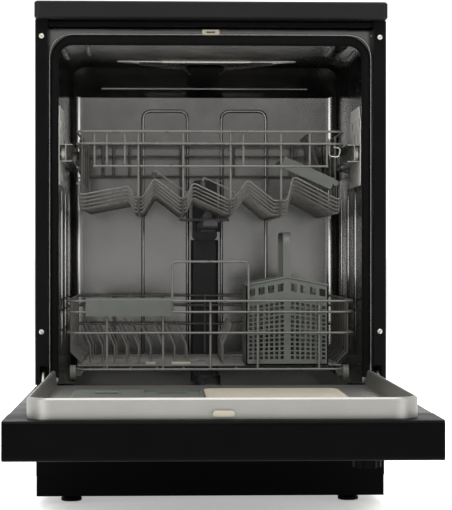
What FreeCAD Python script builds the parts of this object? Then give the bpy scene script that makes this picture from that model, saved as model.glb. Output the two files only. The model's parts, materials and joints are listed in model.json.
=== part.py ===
import FreeCAD, Part
import math
import os

os.makedirs("parts", exist_ok=True)

# All sizes in millimetres. X to the right, Y to the back, Z up.
# Y = 0 is the front plane of the side panels while the pieces are made.

# Running and seating gaps, how far a cutting tool runs past a face, and the least length told from zero
seat = 0.3
weld = 0.1
run = 0.5
past = 2.0
tiny = 1e-6

# Flats round a wire, a small turned piece and a large one
wire_sides = 6
small_sides = 12
turn_sides = 18

# Cabinet
width = 598.0
height = 855.0
depth = 543.0
sheet = 1.2
worktop_thickness = 29.0
worktop_overhang = 25.0
worktop_corner = 8.0
worktop_edge = 2.5
flange_width = 21.5
jamb_gap = 2.0
panel_corner = 3.0
rear_return = 20.0
heel_gap = 2.6
hinge_slot_gap = 10.6
hinge_slot_width = 13.5
rail_band = 10.0
rail_setback = 8.0
rail_depth = 50.0
back_bottom = 140.0
vent_count = 9
vent_margin = 115.0
vent_width = 6.0
vent_length = 70.0

# Base, plinth and feet
base_floor = 34.0
base_wall = 30.0
base_front = 46.0
plinth_front = 30.0
plinth_top = 126.0
plinth_step = 48.0
plinth_bottom = 12.0
plinth_recess = 8.0
foot_side = 58.0
foot_front_inset = 32.0
foot_rear_inset = 40.0
foot_radius = 18.0
foot_pad = 12.0
foot_hub = 9.0
stud_radius = 5.0
stud_length = 40.0
boss_radius = 11.0
boss_top = 62.0

# Tub
steel = 1.5
tub_side_gap = 37.0
tub_top_gap = 36.0
rear_gap = 38.0
tub_front = 40.0
tub_corner = 30.0
tub_rear_corner = 22.0
slope_length = 65.0
slope_drop = 53.0
bead_radius = 2.0
bead_inset = 60.0
bead_reach = 45.0
wheel_step = 1.0
sill_drop = 6.2
floor_fall = 30.2
floor_dish = 6.0
ledge_width = 26.0
floor_ramp = 10.0
emboss = 3.0
emboss_inner = 30.0
emboss_outer = 125.0
emboss_foot = 15.8
emboss_head = 22.0
emboss_bead = 7.0
emboss_radius = 16.0
sump_radius = 70.0
flange_drop = 11.0

# Gasket and striker
gasket_side = 2.5
gasket_head = 11.0
gasket_lap = 1.0
gasket_top_lap = 3.0
gasket_corner = 42.0
gasket_inner_corner = 24.0
gasket_depth = 11.7
gasket_lip = 3.0
gasket_base = 6.0
gasket_foot = 16.0
striker_width = 30.0
striker_height = 9.0
striker_reach = 12.0

# Door, made lying open
hinge_y = -18.0
hinge_z = 187.4
door_gap = 2.0
door_thickness = 55.0
door_reach = 631.0
door_heel = 30.0
door_side_gap = 1.0
door_edge = 8.0
door_lip = 34.0
lip_stop = 45.0
heel_inset = 29.0
console_length = 115.0
console_edge = 6.0
liner_lap = 7.0
liner_short = 22.0
liner_height = 29.0
liner_wall = 7.0
liner_corner = 35.0
liner_roll = 2.5
liner_taper_start = 40.0
liner_taper_end = 2.0
bolt_width = 30.0
bolt_height = 8.0
bolt_lift = 2.6
bolt_length = 10.0
bolt_out = 6.0
handle_width = 150.0
handle_height = 46.0
handle_depth = 30.0
handle_edge = 12.0
handle_radius = 14.0
button_radius = 9.0
button_dish = 5.0
button_travel = 2.5
button_proud = 3.0
button_depth = 9.0
button_row = 58.0
power_inset = 64.0
start_inset = 149.0
knob_inset = 100.0
knob_radius = 20.0
knob_flute = 1.6
knob_flutes = 12
knob_height = 14.0
knob_mark = 2.0
knob_shaft = 4.0
knob_shaft_length = 12.0

# Hinge hardware
arm_inset = 15.0
arm_thickness = 3.0
arm_tail_y = 22.0
arm_tail_z = 40.0
arm_width = 14.0
arm_length = 150.0
pin_radius = 4.0
pin_head_radius = 6.0
pin_head = 2.5
bracket_inset = 2.0
bracket_depth = 32.0
bracket_drop = 10.0
bracket_eye = 11.2

# Dispenser on the liner
dispenser_side = 49.0
dispenser_width = 200.0
rinse_width = 106.0
dispenser_near = 275.0
dispenser_depth = 150.0
dispenser_height = 13.0
dispenser_corner = 14.0
cup_wall = 6.0
lid_thickness = 2.5
lid_travel = 56.0
cap_radius = 22.0
cap_stem = 11.0
cap_height = 3.0
cap_grip_length = 35.0
cap_grip_width = 6.0

# Water parts on the back wall
duct_half = 27.0
duct_depth = 20.0
duct_lift = 8.0
duct_round = 8.0
dock_half = 24.0
dock_wall = 4.0
dock_reach = 30.0
dock_drop = 41.0
dock_rise = 76.0

# Baskets; a share is a place across the basket as a part of its half width
wire = 2.0
fine_wire = 1.6
rail_bend = 26.0
rail_tail = 6.0
basket_front_gap = 7.0
basket_back_gap = 37.0
upper_rail_rise = (37.0, 16.0, -23.0)
upper_upright_share = (-0.866, -0.775, -0.64, 0.247, 0.745, 0.874)
floor_base_drop = 83.0
floor_hem = 35.0
floor_edge_rise = (10.0, 0.0)
peak_share = (-0.615, -0.42, -0.13, 0.281, 0.623)
peak_rise = (26.0, 40.0, 32.0, 37.0, 44.0)
valley_share = ((-0.567, -0.511), (-0.225, -0.182), (0.13, 0.173), (0.48, 0.58))
valley_rise = (6.0, 5.0, 3.0, 1.0)
floor_inset = 14.0
step_rows = 5
step_pitch = 9.0
floor_drop = 24.0
level_rows = 8
lower_gap = 14.0
lower_tuck = 17.0
lower_floor_rise = 22.8
lower_rail_rise = (118.0, 99.0, 63.0)
lower_upright_share = (-0.72, -0.33, 0.0, 0.33, 0.76)
kink_top_rise = 27.0
kink_bottom_rise = 11.0
lower_floor_x_count = 9
lower_floor_y_count = 9
handle_loop_half = 66.0
handle_loop_rise = 68.0
loop_bend = 9.0
plate_side = 33.0
plate_width = 148.0
plate_skirt = 7.0
plate_crown = 5.0
plate_thickness = 3.0

# Wheels and rollers
wheel_radius = 13.0
wheel_gap = 0.95
wheel_width = 10.0
wheel_out = 9.0
wheel_front_inset = 63.0
wheel_rear_inset = 68.0
axle_radius = 3.0
axle_length = 12.0
clip_thickness = 9.0
clip_half = 12.0
clip_foot = 6.0
roller_radius = 13.0
roller_width = 7.0
roller_axle = 3.0
slide_rise = 396.8
slide_sheet = 1.5
slide_wall_gap = 2.5
slide_out = 10.5
slide_in = 11.0
slide_front_gap = 12.0
slide_back_gap = 35.0
tub_roller_inset = (24.0, 138.0)
basket_roller_inset = (170.0, 40.0)
bracket_room = 7.0

# Spray arms
arm_gap = 12.5
arm_half_width = 20.0
arm_tip = 12.0
arm_height = 14.0
arm_bevel = 3.5
jet_count = 5
jet_half = 2.0
jet_side = 4.0
jet_start = 45.0
jet_pitch = 32.0
lower_arm_lift = 18.0
arm_hang = 24.0
hub_radius = 24.0
hub_bore = 12.0
hub_rise = 4.0
pivot_radius = 4.0
feed_drop = 106.0
feed_radius = 9.0
feed_flare = 18.0

# Cup shelf
shelf_drop = 51.0
shelf_span = 104.0
shelf_tilt = 24.0
shelf_rear_tilt = 70.0
shelf_inset = 23.0
shelf_length = 180.0
shelf_gap = 12.0
shelf_rear_length = 158.0
shelf_thickness = 4.0
shelf_slots = 7
shelf_slot_width = 11.0
shelf_slot_margin = 14.0
shelf_barrel = 5.0
band_thickness = 3.0
band_up = 6.0
band_down = 14.0

# Tines
tine_radius = 1.6
tine_pitch = 36.0
tine_count = 9
tine_inset = 53.0
tine_low = 30.0
tine_high = 36.0
tine_lean = 16.0
folding_tine_x = 24.0
tine_aisle = 64.0
tine_columns = 9
tine_column_pitch = 21.3
tine_first_row = 1
tine_row_step = 3
side_tine_inset = 35.0

# Cutlery basket
cutlery_inset = 26.0
cutlery_width = 143.0
cutlery_front_inset = 11.0
cutlery_depth = 150.0
cutlery_side_rise = 145.0
cutlery_apex_rise = 159.0
cutlery_wall = 3.0
cutlery_band = 13.0
window_count = 4
window_height = 14.0
slot_count = 5
window_gap = 4.0
post_width = 15.0
strap_rise = 238.0
strap_width = 14.0
strap_thickness = 4.0
strap_bend = 20.0

# Lower works
filter_radius = 30.0
filter_gap = 1.0
filter_lip = 3.0
filter_rise = 8.0
filter_depth = 70.0
filter_wall = 2.4
filter_grip = 12.0
plate_sheet = 1.2
plate_slot = 3.0
plate_slot_start = 50.0
plate_slots = 16
sump_inset = 35.0
sump_wall = 4.0
sump_depth = 82.0
sump_foot = 35.0
sump_leg = 24.0
pump_radius = 42.0
pump_neck = 29.0
pump_length = 110.0
pump_neck_length = 50.0
pump_shoulder = 6.0
pump_x = 110.0
pump_y = 300.0
pump_z = 106.0
drain_radius = 24.0
drain_neck = 18.0
drain_length = 70.0
drain_neck_start = 30.0
spigot_z = 95.0
spigot_length = 30.0
drain_inset = 149.0
drain_spigot_radius = 9.5
drain_collar = 14.0
drain_bore = 7.0
valve_inset = 99.0
valve_body = 44.0
valve_coil = 11.0
inlet_radius = 13.2
gland_inset = 84.0
gland_radius = 11.0
gland_neck = 8.0
gland_bore = 4.5
gland_length = 15.0

# Places worked out from the sizes above
half = width / 2
under_top = height - worktop_thickness
panel_bottom = base_floor
jamb_depth = tub_front - jamb_gap
door_end = hinge_y - door_reach
door_face = hinge_z - door_gap - hinge_y
door_outer = door_face - door_thickness
door_heel_y = hinge_y + door_heel
heel_half = half - heel_inset
front_cut_top = door_face + heel_gap
hinge_slot_top = hinge_z + arm_tail_z + hinge_slot_gap
to_origin = (-door_end - depth) / 2
base_back = depth - rear_gap
foot_x = half - foot_side
foot_front = base_front + foot_front_inset
foot_rear = base_back - foot_rear_inset
tub_half = half - tub_side_gap
tub_back_y = depth - rear_gap
tub_ceiling_z = under_top - tub_top_gap
slope_start = tub_back_y - slope_length
slope_end_z = tub_ceiling_z - slope_drop
flange_top = under_top - flange_drop
gasket_half = half - flange_width - gasket_side
gasket_top = flange_top - gasket_head
console_back = door_end + console_length
liner_half = tub_half + liner_lap
liner_far = door_end + liner_short
liner_floor = door_face + seat
liner_top = liner_floor + liner_height
liner_plate = liner_floor + steel
bolt_low = liner_plate + bolt_lift
dispenser_left = dispenser_side - liner_half
dispenser_right = dispenser_left + dispenser_width
dispenser_split = dispenser_left + rinse_width
dispenser_far = dispenser_near + dispenser_depth
dispenser_top = liner_plate + dispenser_height
controls_y = door_end + button_row
power_x = power_inset - half
start_x = half - start_inset
knob_x = half - knob_inset
arm_x = half - arm_inset
bracket_front = base_front + bracket_inset
bracket_back = bracket_front + bracket_depth
ledge_z = liner_plate + wheel_step
sill_z = ledge_z - sill_drop
floor_edge = ledge_z - floor_fall
floor_middle = floor_edge - floor_dish
emboss_low = ledge_z + emboss_foot
emboss_high = slope_end_z - emboss_head
gasket_low = sill_z + gasket_foot
slide_z = ledge_z + slide_rise
slide_height = 2 * (roller_radius + run + slide_sheet)
slide_outer = tub_half - slide_wall_gap
slide_web = slide_outer - slide_out
slide_inner = slide_web - slide_in
slide_front = tub_front + slide_front_gap
slide_back = tub_back_y - slide_back_gap
tub_roller_y = [slide_front + inset for inset in tub_roller_inset]
basket_roller_y = [slide_back - inset for inset in basket_roller_inset]
basket_front = tub_front + basket_front_gap
basket_back = tub_back_y - basket_back_gap
upper_half = slide_inner - bracket_room
upper_rails_z = [slide_z + rise for rise in upper_rail_rise]
floor_base = slide_z - floor_base_drop
lower_half = tub_half - lower_gap
lower_foot_half = lower_half - lower_tuck
lower_floor_z = ledge_z + lower_floor_rise
lower_floor_top = lower_floor_z + 2 * wire + weld
lower_rails_z = [lower_floor_z + rise for rise in lower_rail_rise]
lower_upright_x = [share * lower_half for share in lower_upright_share]
plate_left = plate_side - lower_half
wheel_x = lower_foot_half + wheel_out
wheel_z = ledge_z + wheel_gap + wheel_radius
wheel_front_y = basket_front + wheel_front_inset
wheel_rear_y = basket_back - wheel_rear_inset
dock_front = tub_back_y - dock_reach
arm_axis_y = (tub_front + dock_front) / 2
arm_radius = (dock_front - tub_front) / 2 - arm_gap
feed_z = slide_z - feed_drop
upper_arm_z = feed_z - arm_hang
lower_arm_z = floor_middle + lower_arm_lift
duct_top = feed_z - dock_drop
shelf_hinge_z = slide_z - shelf_drop
shelf_hinge_x = upper_half - 3 * wire - weld - seat - shelf_barrel
shelf_near = basket_front + shelf_inset
shelf_rear_near = shelf_near + shelf_length + shelf_gap
tine_axis_z = lower_floor_top + 2 * wire + weld
cutlery_right = lower_foot_half - cutlery_inset
cutlery_left = cutlery_right - cutlery_width
cutlery_middle = (cutlery_left + cutlery_right) / 2
cutlery_front_y = basket_front + cutlery_front_inset
cutlery_back_y = cutlery_front_y + cutlery_depth
cutlery_low = lower_floor_top + wire + seat
cutlery_side_top = lower_floor_z + cutlery_side_rise
cutlery_apex = lower_floor_z + cutlery_apex_rise
strap_top = lower_floor_z + strap_rise
sump_y = arm_axis_y - sump_inset
sump_rim = floor_middle - 2 * steel
sump_low = sump_rim - seat - sump_depth
filter_y = sump_y - filter_radius
filter_top = floor_middle + filter_rise
tray_top = base_floor + sheet
rear_mount_z = base_floor + base_wall / 2
drain_spigot_x = drain_inset - half
valve_x = valve_inset - half
gland_x = half - gland_inset


def vec(x, y, z):
    return FreeCAD.Vector(x, y, z)


def block(x0, x1, y0, y1, z0, z1):
    return Part.makeBox(x1 - x0, y1 - y0, z1 - z0, vec(x0, y0, z0))


def place(plane, u, v, w):
    if plane == "xy":
        return vec(u, v, w)
    if plane == "xz":
        return vec(u, w, v)
    return vec(w, u, v)


def corner_arc(before, here, after, radius):
    # Tangent points and middle of the arc that rounds one corner
    a = (before - here).normalize()
    b = (after - here).normalize()
    half_angle = a.getAngle(b) / 2
    reach = radius / math.tan(half_angle)
    bisector = (a + b).normalize()
    centre = here + bisector * (radius / math.sin(half_angle))
    return here + a * reach, centre - bisector * radius, here + b * reach


def outline(plane, corners, w):
    # Closed outline of straight runs; a corner with a third value is rounded to that radius
    spots = [place(plane, corner[0], corner[1], w) for corner in corners]
    stops = []
    for i, corner in enumerate(corners):
        if len(corner) > 2:
            after = spots[(i + 1) % len(spots)]
            stops.append(corner_arc(spots[i - 1], spots[i], after, corner[2]))
        else:
            stops.append((spots[i],))
    edges = []
    for stop, following in zip(stops, stops[1:] + stops[:1]):
        if len(stop) > 1:
            edges.append(Part.Arc(*stop).toShape())
        if stop[-1].distanceToPoint(following[0]) > tiny:
            edges.append(Part.LineSegment(stop[-1], following[0]).toShape())
    return Part.Wire(edges)


def prism(plane, corners, w0, w1):
    return Part.Face(outline(plane, corners, w0)).extrude(place(plane, 0, 0, w1 - w0))


def plate(plane, u0, u1, v0, v1, radius, w0, w1):
    corners = [(u0, v0, radius), (u1, v0, radius), (u1, v1, radius), (u0, v1, radius)]
    return prism(plane, corners, w0, w1)


def rod(start, end, radius):
    way = end - start
    return Part.makeCylinder(radius, way.Length, start, way)


def wire_ring(start, way, radius):
    # Six-sided section of a drawn wire, square to its run
    across = vec(0, 0, 1).cross(way)
    if across.Length < tiny:
        across = vec(1, 0, 0)
    across.normalize()
    up = way.cross(across).normalize()
    ring = []
    for i in range(wire_sides + 1):
        turn = 2 * math.pi * i / wire_sides
        ring.append(start + across * (radius * math.cos(turn)) + up * (radius * math.sin(turn)))
    return Part.makePolygon(ring)


def straight_wire(start, end, radius):
    way = end - start
    return Part.Face(wire_ring(start, way, radius)).extrude(way)


def bent_wire(points, radius, bend):
    # Wire through the points; each bend is two chords of its arc, or one mitre where bend is 0
    route = [points[0]]
    for before, here, after in zip(points, points[1:], points[2:]):
        route.extend(corner_arc(before, here, after, bend) if bend else [here])
    route.append(points[-1])
    ring = wire_ring(route[0], route[1] - route[0], radius)
    return Part.makePolygon(route).makePipeShell([ring], True, False, 1)


def turned(corners, centre, axis, sides):
    # Turned piece with equal flats: (radius, level) outline carried round an axis through the centre
    def spot(corner, i):
        turn = 2 * math.pi * i / sides
        return vec(corner[0] * math.cos(turn), corner[0] * math.sin(turn), corner[1])

    skin = []
    for a, b in zip(corners, corners[1:] + corners[:1]):
        for i in range(sides):
            loop = [spot(a, i)]
            for point in (spot(a, i + 1), spot(b, i + 1), spot(b, i)):
                if min(point.distanceToPoint(other) for other in loop) > tiny:
                    loop.append(point)
            if len(loop) > 2:
                skin.append(Part.Face(Part.makePolygon(loop + loop[:1])))
    solid = Part.Solid(Part.Shell(skin)).removeSplitter()
    if solid.Volume < 0:
        solid.reverse()
    solid.Placement = FreeCAD.Placement(centre, FreeCAD.Rotation(vec(0, 0, 1), axis))
    return solid


def drum(start, end, radius, sides):
    # Plain turned length between two points
    way = end - start
    corners = [(0, 0), (radius, 0), (radius, way.Length), (0, way.Length)]
    return turned(corners, start, way, sides)


def mirrored(shape):
    return shape.mirror(vec(0, 0, 0), vec(1, 0, 0))


def cut_all(shape, tools):
    return shape.cut(Part.makeCompound(tools))


def joined(shapes):
    return shapes[0].multiFuse(shapes[1:]).removeSplitter()


def save(name, shapes):
    solids = []
    for shape in shapes:
        solids.extend(shape.Solids)
    group = solids[0] if len(solids) == 1 else Part.makeCompound(solids)
    moved = group.copy()
    moved.translate(vec(0, to_origin, 0))
    moved.exportStep("parts/" + name + ".step")


# Worktop: slab with rounded corners and bevelled rims
def worktop():
    slab = plate("xy", -half, half, -worktop_overhang, depth, worktop_corner, under_top, height)
    rims = [edge for edge in slab.Edges if edge.BoundBox.ZLength < tiny]
    return slab.makeChamfer(worktop_edge, rims)


# Side panel: folded sheet with front return, jamb and rear return, cut back for the door heel
def side_panel():
    inner = half - sheet
    jamb = half - flange_width
    rear = depth - 2 * sheet
    corners = [
        (jamb, 0),
        (half, 0, panel_corner),
        (half, rear),
        (half - rear_return, rear),
        (half - rear_return, rear - sheet),
        (inner, rear - sheet),
        (inner, sheet),
        (jamb + sheet, sheet),
        (jamb + sheet, jamb_depth),
        (jamb, jamb_depth),
    ]
    panel = prism("xy", corners, panel_bottom, under_top)
    heel = block(jamb - past, half + past, -past, base_front, panel_bottom - past, front_cut_top)
    slot = block(
        jamb - past, jamb + hinge_slot_width, -past, jamb_depth + past, panel_bottom, hinge_slot_top
    )
    return cut_all(panel, [heel, slot])


# Back panel: flat sheet with a hem along its foot and a row of vent slots
def back_panel():
    reach = half - rear_return - seat
    front = depth - sheet
    panel = block(-half, half, front, depth, back_bottom, under_top)
    hem = block(-reach, reach, base_back, front, back_bottom, back_bottom + sheet)
    pitch = 2 * (half - vent_margin) / (vent_count - 1)
    low = back_bottom + vent_length
    slots = []
    for i in range(vent_count):
        x = vent_margin - half + i * pitch
        slots.append(block(
            x - vent_width / 2, x + vent_width / 2, front - past, depth + past, low, low + vent_length
        ))
    return joined([cut_all(panel, slots), hem])


# Cross rail under the worktop: folded channel with a turned-down front
def top_rail():
    reach = half - flange_width - seat
    top = under_top
    low = top - rail_band
    back = rail_setback + rail_depth
    corners = [
        (rail_setback, low),
        (rail_setback, top, panel_corner),
        (back, top),
        (back, low),
        (back - sheet, low),
        (back - sheet, top - sheet),
        (rail_setback + sheet, top - sheet),
        (rail_setback + sheet, low),
    ]
    return prism("yz", corners, -reach, reach)


# Base tray: shallow pan with bosses that take the foot studs
def base_tray():
    reach = half - sheet - seat
    outer = block(-reach, reach, base_front, base_back, base_floor, base_floor + base_wall)
    inner = block(
        -reach + sheet, reach - sheet, base_front + sheet, base_back - sheet, tray_top,
        base_floor + base_wall + past
    )
    bosses = []
    bores = []
    for x, y in foot_places():
        bosses.append(drum(vec(x, y, foot_pad + seat), vec(x, y, boss_top), boss_radius, small_sides))
        bores.append(rod(vec(x, y, 0), vec(x, y, boss_top + past), stud_radius + seat))
    tray = joined([outer.cut(inner)] + bosses)
    return cut_all(tray, bores)


def foot_places():
    return [
        (-foot_x, foot_front),
        (foot_x, foot_front),
        (-foot_x, foot_rear),
        (foot_x, foot_rear),
    ]


# Levelling foot: dished pad with flats to turn it by, and its stud
def foot(x, y):
    corners = [
        (0, 0),
        (foot_radius, 0),
        (foot_radius, foot_pad / 2),
        (foot_hub, foot_pad),
        (stud_radius, foot_pad),
        (stud_radius, foot_pad + stud_length),
        (0, foot_pad + stud_length),
    ]
    return turned(corners, vec(x, y, 0), vec(0, 0, 1), small_sides)


# Plinth: upper board standing forward of the lower kick strip
def plinth():
    front = plinth_front
    back = base_front - seat
    corners = [
        (front, plinth_step),
        (front, plinth_top, panel_corner),
        (back, plinth_top),
        (back, plinth_bottom),
        (front + plinth_recess, plinth_bottom),
        (front + plinth_recess, plinth_step),
    ]
    return prism("yz", corners, -half, half)


# Tub side wall: flat sheet behind the front flange, with a bore for each roller axle
def tub_wall():
    wall = block(
        tub_half, tub_half + steel, tub_front + sheet, tub_back_y - tub_rear_corner,
        ledge_z - steel, tub_ceiling_z - tub_corner
    )
    bores = []
    for y in tub_roller_y:
        bores.append(rod(vec(tub_half - past, y, slide_z), vec(half, y, slide_z), roller_axle + seat))
    return cut_all(wall, bores)


# Tub ceiling: arched over the side walls, with a sloped rear and a bead across the slope
def tub_ceiling():
    top = tub_ceiling_z + steel
    front = tub_front + sheet

    def arch(wide, low, high, radius, y0, y1):
        corners = [(-wide, low), (-wide, high, radius), (wide, high, radius), (wide, low)]
        return prism("xz", corners, y0, y1)

    full = arch(tub_half + steel, tub_ceiling_z - tub_corner, top, tub_corner + steel, front, tub_back_y)
    hollow = arch(tub_half, slope_end_z - past, tub_ceiling_z, tub_corner, front - past, tub_back_y + past)
    slope = prism(
        "yz",
        [(slope_start, tub_ceiling_z), (tub_back_y, slope_end_z), (tub_back_y, slope_end_z + 2 * steel),
         (slope_start + 2 * steel, tub_ceiling_z)],
        -tub_half, tub_half
    )
    bead_y = slope_start + bead_reach
    bead_z = tub_ceiling_z - slope_drop * bead_reach / slope_length
    bead_half = tub_half - bead_inset
    bead = drum(vec(-bead_half, bead_y, bead_z), vec(bead_half, bead_y, bead_z), bead_radius, small_sides)
    return joined([full.cut(hollow), slope.common(hollow), bead])


# Tub back: sheet with rounded upright corners and two raised frames
def tub_back():
    start = tub_back_y - tub_rear_corner
    outer = tub_half + steel
    rear = tub_back_y + steel
    corners = [
        (-outer, start),
        (-outer, rear, tub_rear_corner + steel),
        (outer, rear, tub_rear_corner + steel),
        (outer, start),
        (tub_half, start),
        (tub_half, tub_back_y, tub_rear_corner),
        (-tub_half, tub_back_y, tub_rear_corner),
        (-tub_half, start),
    ]
    sheet_back = prism("xy", corners, ledge_z, tub_ceiling_z - tub_corner)
    above_slope = prism(
        "yz",
        [(slope_start, tub_ceiling_z), (tub_back_y, slope_end_z), (rear + past, slope_end_z),
         (rear + past, tub_ceiling_z)],
        -half, half
    )
    frames = []
    for side in (-1, 1):
        u0, u1 = sorted((side * emboss_inner, side * emboss_outer))
        frame = plate("xz", u0, u1, emboss_low, emboss_high, emboss_radius, tub_back_y - emboss, rear)
        field = plate(
            "xz", u0 + emboss_bead, u1 - emboss_bead, emboss_low + emboss_bead,
            emboss_high - emboss_bead, emboss_radius - emboss_bead, tub_back_y - emboss - past, tub_back_y
        )
        frames.append(frame.cut(field))
    return joined([sheet_back.cut(above_slope)] + frames)


# Tub floor: wheel ledges, ramps and a shallow dish with the sump opening
def tub_floor():
    inner = tub_half - ledge_width
    foot_of_ramp = inner - floor_ramp
    top_line = [
        (-tub_half, ledge_z),
        (-inner, ledge_z),
        (-foot_of_ramp, floor_edge),
        (0, floor_middle),
        (foot_of_ramp, floor_edge),
        (inner, ledge_z),
        (tub_half, ledge_z),
    ]
    under = [(x, z - steel) for x, z in reversed(top_line)]
    dish = [
        (foot_of_ramp, floor_edge - steel),
        (0, floor_middle - steel),
        (-foot_of_ramp, floor_edge - steel),
    ]
    front = tub_front + sheet
    shell = prism("xz", top_line + under, front, tub_back_y)
    well = drum(vec(0, sump_y, sump_low), vec(0, sump_y, ledge_z), sump_radius + run, turn_sides)
    sill = prism("xz", [(-inner, sill_z), (inner, sill_z)] + dish, front, front + steel)
    rear = prism("xz", [(-inner, ledge_z), (inner, ledge_z)] + dish, tub_back_y, tub_back_y + steel)
    return joined([shell.cut(well), sill, rear])


# Front flange of the tub: steel frame that the gasket is seated on
def tub_flange():
    outer = half - flange_width - seat
    corners = [
        (-outer, sill_z),
        (-outer, flange_top),
        (outer, flange_top),
        (outer, sill_z),
        (tub_half, sill_z),
        (tub_half, tub_ceiling_z, tub_corner),
        (-tub_half, tub_ceiling_z, tub_corner),
        (-tub_half, sill_z),
    ]
    return prism("xz", corners, tub_front, tub_front + sheet)


# Door gasket: rubber arch with a broad foot and a narrower bulb
def gasket():
    inner = tub_half - gasket_lap
    inner_top = tub_ceiling_z - gasket_top_lap

    def arch(inset, y0, y1):
        corners = [
            (-gasket_half + inset, gasket_low),
            (-gasket_half + inset, gasket_top - inset, gasket_corner - inset),
            (gasket_half - inset, gasket_top - inset, gasket_corner - inset),
            (gasket_half - inset, gasket_low),
            (inner + inset, gasket_low),
            (inner + inset, inner_top + inset, gasket_inner_corner + inset),
            (-inner - inset, inner_top + inset, gasket_inner_corner + inset),
            (-inner - inset, gasket_low),
        ]
        return prism("xz", corners, y0, y1)

    base = tub_front - gasket_base
    return joined([arch(0, base, tub_front), arch(gasket_lip, tub_front - gasket_depth, base)])


# Latch striker: small bridge on the flange above the gasket
def latch_striker():
    low = gasket_top + seat
    wide = striker_width / 2
    front = tub_front - striker_reach
    third = striker_height / 3
    body = plate("xz", -wide, wide, low, low + striker_height, third, front, tub_front)
    mouth = block(-wide / 2, wide / 2, front - past, tub_front - third, low + third, low + 2 * third)
    return body.cut(mouth)


# Door outer panel: painted pan with rounded long edges, lips under the liner and a heel wall
def door_outer_panel():
    wide = half - door_side_gap
    near = door_heel_y
    far = console_back + seat
    corners = [
        (-wide, door_face),
        (-wide, door_outer, door_edge),
        (wide, door_outer, door_edge),
        (wide, door_face),
        (wide - sheet, door_face),
        (wide - sheet, door_outer + sheet, door_edge - sheet),
        (-wide + sheet, door_outer + sheet, door_edge - sheet),
        (-wide + sheet, door_face),
    ]
    pieces = [prism("xz", corners, far, near)]
    for side in (-1, 1):
        x0, x1 = sorted((side * wide, side * (wide - door_lip)))
        pieces.append(block(x0, x1, far, -lip_stop, door_face - sheet, door_face))
    pieces.append(block(-heel_half, heel_half, near - sheet, near, door_outer, door_face))
    return joined(pieces)


# Door liner: stainless tray with a bevelled rim that runs out towards the hinges
def door_liner():
    near = -liner_taper_end
    inner_half = liner_half - liner_wall
    inner_far = liner_far + liner_wall
    inner_corner = liner_corner - liner_wall
    outer = prism(
        "xy",
        [(-liner_half, near), (-liner_half, liner_far, liner_corner), (liner_half, liner_far, liner_corner),
         (liner_half, near)],
        liner_floor, liner_top
    )
    pan = prism(
        "xy",
        [(-inner_half, near + past), (-inner_half, inner_far, inner_corner),
         (inner_half, inner_far, inner_corner), (inner_half, near + past)],
        liner_plate, liner_top + past
    )
    taper = prism(
        "yz",
        [(-liner_taper_start, liner_top + past), (-liner_taper_start, liner_top),
         (near, liner_plate + seat), (near + past, liner_plate + seat), (near + past, liner_top + past)],
        -half, half
    )
    tray = outer.cut(pan)
    rims = []
    for edge in tray.Edges:
        box = edge.BoundBox
        if abs(box.ZMin - liner_top) < tiny and box.ZLength < tiny and box.YMin < near - past:
            rims.append(edge)
    tray = tray.makeChamfer(liner_roll, rims)
    return cut_all(tray, [taper, bolt_outline(seat, liner_far - past, inner_far + past)])


# Outline of the latch bolt, grown by a gap where the liner is pierced for it
def bolt_outline(gap, y0, y1):
    wide = bolt_width / 2 + gap
    low = bolt_low - gap
    high = bolt_low + bolt_height + gap
    return plate("xz", -wide, wide, low, high, bolt_height / 2 + gap - weld, y0, y1)


def latch_bolt():
    front = liner_far - bolt_out
    return bolt_outline(0, front, front + bolt_length)


# Console: moulded end of the door with a hand recess, two button wells and the bore of the knob
def console():
    near = console_back
    corners = [
        (door_end, door_outer, door_edge),
        (door_end, door_face, console_edge),
        (near, door_face),
        (near, door_outer),
    ]
    body = prism("yz", corners, -half, half)
    grip_far = door_end + handle_edge
    tools = [plate("xy", -handle_width / 2, handle_width / 2, grip_far, grip_far + handle_height,
                   handle_radius, door_outer - past, door_outer + handle_depth)]
    well_top = door_outer + button_depth + button_travel + seat
    for x in (power_x, start_x):
        start = vec(x, controls_y, door_outer - past)
        tools.append(rod(start, vec(x, controls_y, well_top), button_radius + seat))
    shaft_top = door_outer + knob_shaft_length + seat
    start = vec(knob_x, controls_y, door_outer - past)
    tools.append(rod(start, vec(knob_x, controls_y, shaft_top), knob_shaft + seat))
    return cut_all(body, tools)


# Push button: capped plug with a dished face
def push_button(x):
    bevel = button_proud / 4
    corners = [
        (0, bevel),
        (button_dish, 0),
        (button_radius - bevel, 0),
        (button_radius, bevel),
        (button_radius, button_proud + button_depth),
        (0, button_proud + button_depth),
    ]
    start = vec(x, controls_y, door_outer - button_proud)
    return turned(corners, start, vec(0, 0, 1), turn_sides)


# Programme knob: fluted cap with an index groove, on a short shaft
def programme_knob():
    face = door_outer - seat
    outer_face = face - knob_height
    flutes = []
    for i in range(2 * knob_flutes):
        turn = math.pi * i / knob_flutes
        reach = knob_radius - knob_flute * (i % 2)
        flutes.append((knob_x + reach * math.cos(turn), controls_y + reach * math.sin(turn)))
    cap = prism("xy", flutes, outer_face, face)
    groove = block(knob_x - knob_mark / 2, knob_x + knob_mark / 2, controls_y - knob_radius, controls_y,
                   outer_face - past, outer_face + knob_mark)
    shaft = drum(vec(knob_x, controls_y, face), vec(knob_x, controls_y, door_outer + knob_shaft_length),
                 knob_shaft, small_sides)
    return joined([cap.cut(groove), shaft])


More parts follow.
